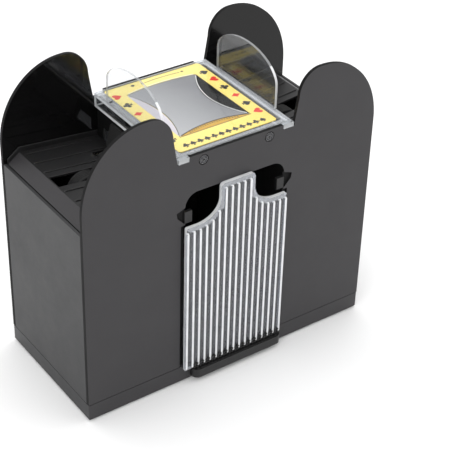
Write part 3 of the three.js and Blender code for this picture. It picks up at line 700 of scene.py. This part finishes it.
def back_panel():
    low, high = cad("usb_socket")
    ux, uz, gap = (low.x + high.x) / 2, (low.z + high.z) / 2, 0.5
    wide, tall = (high.x - low.x) / 2 + gap, (high.z - low.z) / 2 + gap
    usb = rounded(wide, tall, 1.6, 6, ux, uz)
    low, high = cad("start_button")
    bx, bz = (low.x + high.x) / 2, (low.z + high.z) / 2
    button = circle(bx, bz, BUTTON_HOLE_R, 48)
    mesh = prism(ear_outline(), "y", INNER_Y, HALF_D, holes=[usb, button])
    tools = []
    for side in (-1, 1):
        tools += screw_holes(side * SCREW_X, 1)
    ring, core = circle(bx, bz, RING_OUT_R, 48), circle(bx, bz, RING_IN_R, 48)
    tools.append(prism(ring, "y", HALF_D - RING_DEEP, HALF_D + PAST, holes=[core]))
    mesh = carve(mesh, *tools)
    # the outer face is shell and the inner face near black; the edges, hole walls, ring groove and screw
    # seats get painted shade
    paint(mesh, lambda n, c: 0 if n.y > 0.5 and c.y > HALF_D - 0.1 else (1 if n.y < -0.5 else 2))
    looks = [SHELL, SHELL_INNER, SHELL_EDGE_SHADE]
    piece("back_panel_shell", mesh, "shell", looks, ["back_panel"], 0.3)


def base():
    reach = TONGUE_CORNER_Y - cad("base_tray")[0].y
    cavity = rounded(HALF_W - PLINTH_WALL, HALF_D - PLINTH_WALL, CAVITY_R, 4)
    rimmed = prism(rounded(HALF_W, HALF_D, PLINTH_R, 6), "z", PLINTH_LOW, PLINTH_TOP, holes=[cavity])
    sole = prism(rounded(HALF_W - 0.3, HALF_D - 0.3, PLINTH_R, 6), "z", 0.0, SOLE_TOP)
    left, right = TONGUE_LEFT + TONGUE_R, TONGUE_RIGHT - TONGUE_R
    lip = [
        (TONGUE_LEFT, TONGUE_BACK),
        *arc(left, TONGUE_CORNER_Y, TONGUE_R, reach, 180, 270, 8),
        *arc(right, TONGUE_CORNER_Y, TONGUE_R, reach, 270, 360, 8),
        (TONGUE_RIGHT, TONGUE_BACK),
    ]
    mesh = weld(rimmed, sole, prism(lip, "z", *TONGUE_Z))
    tools = []
    for side in (-1, 1):
        for end in (-1, 1):
            screw = circle(side * BASE_SCREW_X, end * BASE_SCREW_Y, BASE_SCREW_R)
            seat = circle(side * FOOT_X, end * FOOT_Y, FOOT_SEAT_R, 40)
            tools.append(prism(screw, "z", -PAST, BASE_SCREW_DEEP))
            tools.append(prism(seat, "z", -PAST, FOOT_SEAT_DEEP))
    mesh = carve(mesh, *tools)
    # faces that look sideways get the darker copy of the shell as painted shade; the tongue in front is
    # black
    paint(mesh, lambda n, c: 2 if c.y < -HALF_D - 0.1 else (1 if abs(n.x) > 0.9 else 0))
    rails = []
    for side in (-1, 1):
        rail = block(sided(side, *RAIL_X), (-CLEAR_Y, CLEAR_Y), RAIL_Z)
        rails.append(paint(rail, lambda n, c: 2))
    mesh = together(mesh, *rails)
    looks = [SHELL, SHELL_SIDE, TRAY]
    piece("base_tray_shell", mesh, "shell", looks, ["base_tray"], 0.35)
    # a row of small grip teeth along the top of the tongue's front edge
    teeth = []
    for i in range(TOOTH_COUNT):
        x = TOOTH_FIRST + TOOTH_SPREAD * i / (TOOTH_COUNT - 1)
        teeth.append(revolve(BEAD, 14, lambda a, b, h: (x + a, TOOTH_Y + b, TOOTH_Z + h)))
    piece("tongue_teeth", together(*teeth), "shell", [TRAY], (), 0.0)


def capsule(x, y, low, high, r, steps=14):
    """A rod along z with round ends."""
    end_steps = 5
    profile = [(0.0, low)]
    profile += arc(0.0, low + r, r, r, -90, 0, end_steps)[1:]
    profile += arc(0.0, high - r, r, r, 0, 90, end_steps)[:-1]
    profile.append((0.0, high))
    return revolve(profile, steps, lambda a, b, h: (x + a, y + b, h))


def side_wall(side, name):
    parts = [block(sided(side, HALF_W - SIDE_WALL, HALF_W), (-CLEAR_Y, CLEAR_Y), (SEAM, SIDE_TOP))]
    depth = sided(side, HALF_W - SIDE_RIB_IN, HALF_W - SIDE_WALL - 0.1)
    for y in SIDE_RIB_Y:
        parts.append(block(depth, (y - SIDE_RIB_HALF, y + SIDE_RIB_HALF), (SEAM, SIDE_RIB_TOP)))
    replaced = [name + "_side_wall"]
    mesh = together(*parts)
    # the side walls take the darker copy of the shell, painted shade
    piece(name + "_wall_shell", mesh, "shell", [SHELL_SIDE], replaced, 0.3)


def card_tray(side, name):
    crest, inner = TRAY_CREST, TRAY_IN

    def level(x):
        return TRAY_CREST_Z - TRAY_SLOPE * (crest - x)

    def placed(points):
        return [(side * x, z) for x, z in points]

    top = [(TRAY_OUT, SIDE_TOP), (crest, TRAY_CREST_Z), (inner, level(inner))]
    under = [(x, z - TRAY_THICK) for x, z in reversed(top)]
    mesh = prism(placed(top + under), "y", -CLEAR_Y, CLEAR_Y)
    tools = [block(sided(side, *PICKUP_SLOT_X), PICKUP_SLOT_Y, TRAY_CUT_Z)]
    for y in FEED_SLOT_Y:
        long = (y - FEED_SLOT_HALF, y + FEED_SLOT_HALF)
        tools.append(block(sided(side, *FEED_SLOT_X), long, TRAY_CUT_Z))
    mesh = carve(mesh, *tools)
    paint(mesh, lambda n, c: 1 if n.z > 0.3 and abs(n.x) > 0.3 else 0)
    parts = [mesh]
    ridge = [
        (crest - 1, level(crest - 1) - RIDGE_SINK),
        (crest - 1.6, level(crest - 1.6) + RIDGE_RISE),
        (inner + 2, level(inner + 2) + RIDGE_RISE),
        (inner + 1, level(inner + 1) - RIDGE_SINK),
    ]
    for i in (-4, -3, -2, -1, 1, 2, 3):  # the pickup roller's slot takes the middle one's place
        y = RIDGE_OFFSET + i * RIDGE_PITCH
        parts.append(prism(placed(ridge), "y", y - RIDGE_HALF, y + RIDGE_HALF))
    band = [(x, z - BAND_SINK) for x, z in top] + [(x, z + BAND_RISE) for x, z in reversed(top)]
    parts.append(prism(placed(band), "y", CLEAR_Y - BAND_THICK, CLEAR_Y))
    parts.append(prism(placed(band), "y", -CLEAR_Y, -CLEAR_Y + BAND_THICK))
    mesh = together(*parts)
    replaced = [name + "_card_tray"]
    piece(name + "_tray_shell", mesh, "shell", [TRAY, SHELL], replaced, 0.25)


# ---------------------------------------------------------------- cover, label and guides
def clear_paint(mesh, axis):
    """Faces square to the axis are panes, and the rest are rims with a painted highlight."""
    return paint(mesh, lambda n, c: 0 if abs(n[axis]) > 0.9 else 1)


def top_cover():
    half, play, weld_in = COVER_HALF, 0.3, 0.2
    plate = block((-half, half), (-CLEAR_Y, CLEAR_Y), (PLATE_LOW, PLATE_HIGH))
    hollow = rounded(POCKET_HALF_X, POCKET_HALF_Y, LABEL_R, 6, 0, POCKET_Y)
    pocket = prism(hollow, "z", PLATE_LOW - PAST, LABEL_TOP + POCKET_GAP)
    # the plate's edges get a softer painted highlight
    parts = [paint(carve(plate, pocket), lambda n, c: 0 if abs(n.z) > 0.9 else 2)]
    for side in (-1, 1):
        xs, tall = sided(side, half - SKIRT, half), (SKIRT_LOW, PLATE_LOW + weld_in)
        parts.append(clear_paint(block(xs, (-CLEAR_Y, CLEAR_Y), tall), 0))
        ys, tall = sided(side, CLEAR_Y - SKIRT, CLEAR_Y), (SKIRT_LOW + 1, PLATE_LOW + weld_in)
        parts.append(clear_paint(block((-half + 0.1, half - 0.1), ys, tall), 1))
        for end in (-1, 1):
            xs = sided(side, NOTCH_X + play, half)
            ys = sided(end, CLEAR_Y - 0.1, HALF_D + play)
            hook = block(xs, ys, (NOTCH_Z + play, PLATE_HIGH))
            # the front hooks' sides get the softer painted highlight; the back hooks are all clear
            parts.append(paint(hook, lambda n, c: 0 if n.z > 0.9 or end > 0 else 2))
            xs = (side * SCREW_X - LUG_HALF, side * SCREW_X + LUG_HALF)
            ys = sided(end, CLEAR_Y - LUG_DEEP, CLEAR_Y)
            bore = hole(side * SCREW_X, SCREW_Z, LUG_BORE_R, ys[0] - PAST, ys[1] + PAST)
            parts.append(clear_paint(carve(block(xs, ys, LUG_Z), bore), 2))
    mesh = together(*parts)
    piece("cover_clear", mesh, "shell", [PANE, RIM, SOFT_RIM], ["top_cover"], 0.3, 2)


def cover_border():
    """The frosted margin round the label, raised a little over the clear plate."""
    outline = rounded(COVER_HALF - 0.2, BORDER_HALF_Y, BORDER_R, 4)
    window = rounded(WINDOW_HALF_X, WINDOW_HALF_Y, WINDOW_R, 6, 0, WINDOW_Y)
    ring = prism(outline, "z", PLATE_HIGH - 0.1, PLATE_HIGH + 0.15, holes=[window])
    piece("cover_border", ring, "shell", [COVER_FROST], (), 0.0)


def card_guide(name):
    low, high = cad(name + "_card_guide")
    half, foot, rise = high.y, low.z, high.z - GUIDE_SHOULDER
    outline = [(half, foot), *arc(0, GUIDE_SHOULDER, half, rise, 0, 180, 56), (-half, foot)]
    mesh = prism(outline, "x", low.x, high.x)
    # the front edges get a bright painted highlight and the other edges a grey painted shade
    paint(mesh, lambda n, c: 0 if abs(n.x) > 0.9 else (1 if n.y < -0.55 else 2))
    profile = [(0.0, low.x - PEG_HEAD), (PEG_R - 0.1, low.x - 0.1), (PEG_R, low.x)]
    profile += [(PEG_R, high.x), (PEG_R - 0.1, high.x + 0.1), (0.0, high.x + PEG_HEAD)]
    pegs = []
    for y in PEG_Y:
        pegs.append(revolve(profile, 14, lambda a, b, h: (h, y + a, foot + PEG_RISE + b)))
    piece(name + "_guide_pegs", together(*pegs), "shell", [SCREW], (), 0.0)
    looks = [GUIDE_PANE, RIM, GREY_RIM]
    piece(name + "_guide_clear", mesh, "shell", looks, [name + "_card_guide"], 0.25, 2)


def bow(a, b, depth, steps=28):
    """From a up to but not including b, sagging to the left of the way by depth."""
    dx, dy, run = b[0] - a[0], b[1] - a[1], math.dist(a, b)
    out = []
    for i in range(steps):
        t = i / steps
        sag = 4 * t * (1 - t) * depth / run
        out.append((a[0] + dx * t - dy * sag, a[1] + dy * t + dx * sag))
    return out


def star_corners(shrink=0.0):
    x, y, mid = STAR["x"] - shrink, STAR["y"] - shrink, STAR["mid"]
    return (x, mid - y), (x, mid + y), (-x, mid + y), (-x, mid - y)


def star(shrink=0.0):
    corners = star_corners(shrink)
    out = []
    for a, b, edge in zip(corners, corners[1:] + corners[:1], ("right", "back", "left", "front")):
        out += bow(a, b, STAR[edge])
    return out


def label():
    outline = rounded(LABEL_HALF_X, LABEL_HALF_Y, LABEL_R, 6, 0, LABEL_Y)
    mesh = prism(outline, "z", LABEL_TOP - LABEL_THICK, LABEL_TOP, holes=[star()])
    fr, br = star_corners()[:2]
    lens = bow((fr[0] - 0.2, fr[1]), (br[0] - 0.2, br[1]), STAR["right"])
    lens += [(br[0], br[1] - 0.5), (fr[0], fr[1] + 0.5)]
    mesh = carve(mesh, prism(lens, "z", LABEL_TOP - 2, LABEL_TOP + 2))
    piece("label_print", mesh, "shell", [PAPER], ["label_sheet"], 0.0)
    plate = prism(star(0.45), "z", LABEL_TOP - SILVER_THICK, LABEL_TOP)
    piece("silver_plate", plate, "shell", [FOIL], ["silver_panel"], 0.15, 2)


def inked(name, outlines, material, rise=0.05, sink=0.02):
    parts = [prism(points, "z", LABEL_TOP - sink, LABEL_TOP + rise) for points in outlines]
    piece(name, together(*parts), "shell", [material], (), 0.0)


def strip(line, width):
    """A band of the given width along a line of points."""
    left, right = [], []
    for i, p in enumerate(line):
        a, b = line[max(0, i - 1)], line[min(len(line) - 1, i + 1)]
        run = math.dist(a, b) or 1.0
        nx, ny = -(b[1] - a[1]) / run * width / 2, (b[0] - a[0]) / run * width / 2
        left.append((p[0] + nx, p[1] + ny))
        right.append((p[0] - nx, p[1] - ny))
    return left + list(reversed(right))


def turned(points, x, y, size, angle):
    c, s = math.cos(math.radians(angle)), math.sin(math.radians(angle))
    return [(x + size * (a * c - b * s), y + size * (a * s + b * c)) for a, b in points]


def heart():
    right = [(0, -1.0), (0.45, -0.45), (0.85, 0.0), *arc(0.47, 0.38, 0.47, 0.46, -20, 180, 12)]
    return right + mirror(right)[1:-1]


def diamond():
    right = [(0, -1.05), (0.33, -0.45), (0.78, 0), (0.33, 0.45), (0, 1.05)]
    return right + mirror(right)[1:-1]


def stem():
    return [(-0.4, -1.0), (0.4, -1.0), (0.12, -0.6), (0.1, 0.0), (-0.1, 0.0), (-0.12, -0.6)]


def club():
    leaves = ((0, 0.5), (-0.48, -0.15), (0.48, -0.15))
    return [circle(x, y, 0.42, 16) for x, y in leaves] + [stem()]


def spade():
    lobe = arc(0.42, -0.2, 0.4, 0.4, 30, -120, 10)
    right = [(0, 1.0), (0.3, 0.55), (0.75, 0.1), *lobe, (0.05, -0.35)]
    return [right + mirror(right)[:-1], stem()]


# suit and place along each long edge of the label, from back to front
LEFT_PIPS = (("heart", 34), ("club", 22), ("diamond", 10), ("spade", -2), ("heart", -14), ("club", -26))
RIGHT_PIPS = (
    ("spade", 32),
    ("heart", 21.5),
    ("club", 9.6),
    ("diamond", -2.4),
    ("spade", -13.9),
    ("heart", -25),
)
LEFT_PIP_X, RIGHT_PIP_X, PIP_SIZE = -31.4, 31.2, 3.1
FRONT_PIPS, FRONT_PIP_X, FRONT_PIP_Y, FRONT_PITCH, FRONT_PIP_SIZE = 12, -27.5, -35.2, 5, 2.3


def pips():
    red, black = [], []

    def put(kind, x, y, size, angle):
        if kind == "heart":
            red.append(turned(heart(), x, y, size, angle))
        elif kind == "diamond":
            red.append(turned(diamond(), x, y, size, angle))
        else:
            for outline in (club() if kind == "club" else spade()):
                black.append(turned(outline, x, y, size, angle))

    for kind, y in LEFT_PIPS:
        put(kind, LEFT_PIP_X, y, PIP_SIZE, 90)
    for kind, y in RIGHT_PIPS:
        put(kind, RIGHT_PIP_X, y, PIP_SIZE, -90)
    # a border of suits and dots along the front
    for i in range(FRONT_PIPS):
        x = FRONT_PIP_X + FRONT_PITCH * i
        put(("club", "spade")[i % 2], x, FRONT_PIP_Y, FRONT_PIP_SIZE, 0)
        if i < FRONT_PIPS - 1:
            black.append(rect(x + 2.2, x + 2.8, FRONT_PIP_Y - 0.5, FRONT_PIP_Y + 0.1))
    # a thin flourish along the back, with a diamond at each end
    sweep = [(x, 40.2 + 0.8 * math.sin((x + 10) / 9)) for x in range(-8, 19)]
    black.append(strip(sweep, 0.45))
    for x, y, size in ((-16, 41, 1.7), (-9.5, 40.3, 1.2), (20, 40.4, 1.2)):
        black.append(turned(diamond(), x, y, size, 90))
    inked("pips_red", red, RED_INK)
    inked("pips_black", black, BLACK_INK)


def label_trim():
    fr, br, bl, fl = star_corners()
    # a white painted highlight along the silver's right edge
    inked("star_right_highlight", [strip(bow(fr, br, STAR["right"] - 0.3, 30)[1:], 0.45)], WHITE_HIGHLIGHT, 0.1)
    # a pale painted highlight along the silver's back edge
    back = bow(br, bl, STAR["back"] - 0.5, 30)
    inked("star_back_highlight", [strip(back[1:], 0.7)], PALE_HIGHLIGHT, 0.04)
    front = bow(fl, fr, STAR["front"], 30)
    # the front lens is a painted reflection of the label, gold, with dark ticks for its mirrored
    # lettering
    gold = bow(fl, fr, STAR["front"] - 0.4)[1:] + [(fr[0] - 1, fr[1] - 0.2), (fl[0] + 1, fl[1] - 0.2)]
    inked("front_gold_reflection", [gold], GOLD_REFLECTION, 0.03)
    chord = strip([(fl[0], fl[1] - 0.4), (fr[0], fr[1] - 0.4)], 0.4)
    inked("front_dark_line", [strip(front[1:], 0.75), chord], BLACK_INK, 0.08)
    # dark ticks on the gold lens: painted reflection of the label's lettering
    ticks = []
    for i in range(5, 26):
        x, y = front[i]
        ticks.append(rect(x - 0.3, x + 0.3, y - 2.1, y - 0.7))
    inked("front_reflected_ticks", ticks, BLACK_INK, 0.05)
    left = bow(bl, fl, STAR["left"] - 0.4)[1:] + [(fl[0] + 0.1, fl[1] + 1), (bl[0] + 0.1, bl[1] - 1)]
    inked("left_lilac_lens", [left], LILAC_INK, 0.03)
    inked("left_dark_line", [strip(bow(bl, fl, STAR["left"], 30)[1:], 0.25)], BLACK_INK, 0.06)


# ---------------------------------------------------------------- drawer
def drawer_outline():
    flat = D_HALF - D_SWEEP
    right = [
        (D_HALF, D_LOW),
        *arc(D_HALF - D_EDGE_R, D_SHOULDER - D_EDGE_R, D_EDGE_R, D_EDGE_R, 0, 90, 4),
        *arc(flat, D_SHOULDER + D_SWEEP_R, flat - D_TAB, D_SWEEP_R, 270, 180, 24),
        *arc(D_TAB - D_TAB_R, D_TOP - D_TAB_R, D_TAB_R, D_TAB_R, 0, 90, 8),
    ]
    return right + mirror(right)


def drawer_edge(x):
    """Height of the drawer front's upper edge at x."""
    flat = D_HALF - D_SWEEP
    out = abs(x)
    if out < D_TAB:
        return D_TOP
    run = min(1.0, (flat - out) / (flat - D_TAB))
    return D_SHOULDER if run <= 0 else D_SHOULDER + D_SWEEP_R * (1 - math.sqrt(1 - run * run))


def drawer():
    # the front plate's edges get the bright painted highlight
    parts = [clear_paint(prism(drawer_outline(), "y", D_FACE, D_REAR), 1)]
    long, tall = (D_REAR - 0.1, BOX_BACK), (BOX_LOW, BOX_TOP)
    box = [
        ((-BOX_HALF, BOX_HALF), long, (BOX_LOW, 15.2), 2),
        (sided(-1, BOX_HALF - BOX_WALL, BOX_HALF), long, tall, 0),
        (sided(1, BOX_HALF - BOX_WALL, BOX_HALF), long, tall, 0),
        ((-BOX_HALF, BOX_HALF), (BOX_BACK - BOX_WALL, BOX_BACK), tall, 1),
    ]
    # the box walls' edges get the dim painted highlight
    for x, y, z, axis in box:
        parts.append(paint(block(x, y, z), lambda n, c: 0 if abs(n[axis]) > 0.9 else 2))
    looks = [DRAWER_PANE, RIM, BOX_RIM]
    piece("drawer_clear", together(*parts), "drawer", looks, ["card_drawer"], 0.3, 2)
    first, pitch = -D_HALF + RIB_MARGIN, 2 * (D_HALF - RIB_MARGIN) / (RIBS - 1)
    ribs = []
    for i in range(RIBS):
        x = first + i * pitch
        rib = capsule(x, D_FACE + 0.25, D_LOW + 0.8, drawer_edge(x) - 3.0, RIB_R, 28)
        # the crest and the top end of each rib get the painted highlight; the sides stay clear
        ribs.append(paint(rib, lambda n, c: 1 if n.y < -0.82 or n.z > 0.5 else 0))
    looks = [DRAWER_SIDE, RIB_HIGHLIGHT]
    piece("drawer_ribs", together(*ribs), "drawer", looks, (), 0.0)
    # two rows of dark beads at the foot, two to each gap between ribs
    comb = []
    for z in BEAD_ROWS_Z:
        for i in range(2 * (RIBS - 1)):
            x = first + pitch * (0.27 + 0.46 * (i % 2) + i // 2)
            if BEADS_FROM < x < BEADS_TO:
                comb.append(revolve(BEAD, 12, lambda a, b, h: (x + a, D_FACE - 0.7 + b, z + h)))
    piece("drawer_comb", together(*comb), "drawer", [TRAY], (), 0.0)
    # a frosted band along the upper edge
    edge = drawer_outline()[1:-1]
    inside = []
    for x, z in edge:
        narrow = (D_HALF - 3) / D_HALF if abs(x) > D_TAB + 1 else (D_TAB - 2.6) / D_TAB
        inside.append((x * narrow, z - 3))
    band = prism(edge + list(reversed(inside)), "y", D_FACE - 0.15, D_FACE + 0.05)
    piece("drawer_band", band, "drawer", [DRAWER_FROST], (), 0.0)


# ---------------------------------------------------------------- rollers and feet
def roller(name, body, steps=40):
    low, high = cad(name)
    cx, cz, r = (low.x + high.x) / 2, (low.z + high.z) / 2, (high.x - low.x) / 2
    shoulder = [(ROLLER_BORE_R, 0.0), (r - 1.6, 0.0), (r - 0.5, 0.2), (r - 0.1, 0.7)]
    profile = [(radius, low.y + inward) for radius, inward in shoulder]
    tread = high.y - low.y - 2 * TREAD_MARGIN
    grooves = max(3, round(tread / TREAD_PITCH))
    step, root = tread / grooves, r - TREAD_DEEP
    for i in range(grooves):
        y = low.y + TREAD_MARGIN + i * step
        profile += [(r, y + 0.1), (r, y + step - 0.45), (root, y + step - 0.3), (root, y + step - 0.1)]
    profile += [(radius, high.y - inward) for radius, inward in reversed(shoulder)]
    mesh = revolve(profile, steps, lambda a, b, h: (cx + a, h, cz + b))
    piece(name + "_tyre", mesh, body, [RUBBER], [name], 0.0)


def foot(name):
    low, high = cad(name)
    cx, cy, r = (low.x + high.x) / 2, (low.y + high.y) / 2, (high.x - low.x) / 2
    profile = [(0.0, high.z), (r, high.z), (r, low.z + 0.5), (r - 0.15, low.z + 0.2), (r - 0.5, low.z)]
    profile += [(r - 2.0, low.z), (r - 2.3, low.z + 0.3), (0.0, low.z + 0.3)]
    mesh = revolve(profile, 40, lambda a, b, h: (cx + a, cy + b, h))
    piece(name + "_pad", mesh, "shell", [RUBBER], [name], 0.0)


front_panel()
back_panel()
base()
for sign, side_name in ((-1, "left"), (1, "right")):
    side_wall(sign, side_name)
    card_tray(sign, side_name)
    card_guide(side_name)
    for place in ("front", "back"):
        roller(f"{side_name}_feed_roller_{place}", side_name + "_feed")
        foot(f"foot_{place}_{side_name}")
    roller(side_name + "_pickup_roller", side_name + "_pickup")
top_cover()
cover_border()
label()
label_trim()
pips()
drawer()

# ---------------------------------------------------------------- CAD nodes that stay
# a word in the node's name, its look and its edge width; the first word that fits is the one
NODE_LOOKS = {
    "mechanism_frame": (INNER, 0.25),
    "card_gate": (RUBBER, 0.2),
    "shaft": (STEEL, 0.15),
    "gear": (NYLON, 0.1),
    "pinion": (NYLON, 0.08),
    "motor": (CAN, 0.3),
    "screw": (SCREW, 0.12),
    "circuit_board": (MASK, 0.1),
    "usb_socket": (NICKEL, 0.06),
    "start_switch": (INNER, 0.15),
    "start_button": (TRAY, 0.5),
    "battery_cell": (WRAP, 0.8),
    "battery_cradle": (INNER, 0.3),
}
for node_name, node in frame["nodes"].items():
    for word, (look, width) in NODE_LOOKS.items():
        if word in node_name:
            node.data.materials.clear()
            node.data.materials.append(look)
            for face in node.data.polygons:
                face.use_smooth = True
            soften(node, width, 2, 30)
            break


# ---------------------------------------------------------------- floor, light and camera
def floor():
    bm = bmesh.new()
    size, z = 12.0, CAD_BOX[0][2]
    corners = [bm.verts.new((x * size, y * size, z)) for x, y in ((-1, -1), (1, -1), (1, 1), (-1, 1))]
    bm.faces.new(corners)
    mesh = to_mesh(bm)
    obj = bpy.data.objects.new("floor", mesh)
    bpy.context.collection.objects.link(obj)
    g = Graph("floor_white")
    tone = g.mix(g.noise(3.0, 2.0), (0.86, 0.86, 0.86), (0.89, 0.89, 0.89))
    white = g.surface({"Base Color": tone, "Roughness": 0.9, "Specular IOR Level": 0.1})
    mesh.materials.append(g.finish(white))


def lamp(name, spot, aim, size, power, color=(1, 1, 1)):
    data = bpy.data.lights.new(name, "AREA")
    data.shape = "RECTANGLE"
    data.size, data.size_y = size
    data.energy = power
    data.color = color
    obj = bpy.data.objects.new(name, data)
    obj.location = spot
    obj.rotation_euler = (Vector(aim) - Vector(spot)).to_track_quat("-Z", "Y").to_euler()
    bpy.context.collection.objects.link(obj)


def world():
    made = bpy.data.worlds.new("studio")
    made.use_nodes = True
    background = made.node_tree.nodes["Background"]
    background.inputs["Color"].default_value = (1, 1, 1, 1)
    background.inputs["Strength"].default_value = 1.0
    bpy.context.scene.world = made


PICTURE_HIGH = 465  # the longer side of the view that the focal length is given for


def camera():
    azimuth, elevation, roll = math.radians(-36.197), math.radians(34.766), math.radians(1.8326)
    target = Vector((0.0293, 0.0, 0.06129))
    distance, focal = 0.92884, 1418.32
    back = Vector(
        (
            math.sin(azimuth) * math.cos(elevation),
            -math.cos(azimuth) * math.cos(elevation),
            math.sin(elevation),
        )
    )
    right = (-back).cross(Vector((0, 0, 1))).normalized()
    up = right.cross(-back)
    r = right * math.cos(roll) + up * math.sin(roll)
    u = up * math.cos(roll) - right * math.sin(roll)
    data = bpy.data.cameras.new("camera")
    data.sensor_width = 36.0
    data.lens = focal * data.sensor_width / PICTURE_HIGH
    data.clip_start = 0.05
    data.clip_end = 20
    obj = bpy.data.objects.new("camera", data)
    spot = target + back * distance
    obj.matrix_world = Matrix(
        (
            (r.x, u.x, back.x, spot.x),
            (r.y, u.y, back.y, spot.y),
            (r.z, u.z, back.z, spot.z),
            (0, 0, 0, 1),
        )
    )
    bpy.context.collection.objects.link(obj)
    bpy.context.scene.camera = obj


floor()
world()
lamp("key", (-1.2, -0.9, 1.3), (0, 0, 0.08), (1.0, 1.0), 9)
lamp("fill", (1.3, -1.1, 0.9), (0, 0, 0.08), (1.2, 1.2), 3)
lamp("top", (0.1, 0.3, 1.6), (0, 0, 0.1), (1.4, 1.0), 10)
camera()

bpy.context.scene.view_settings.view_transform = "Standard"
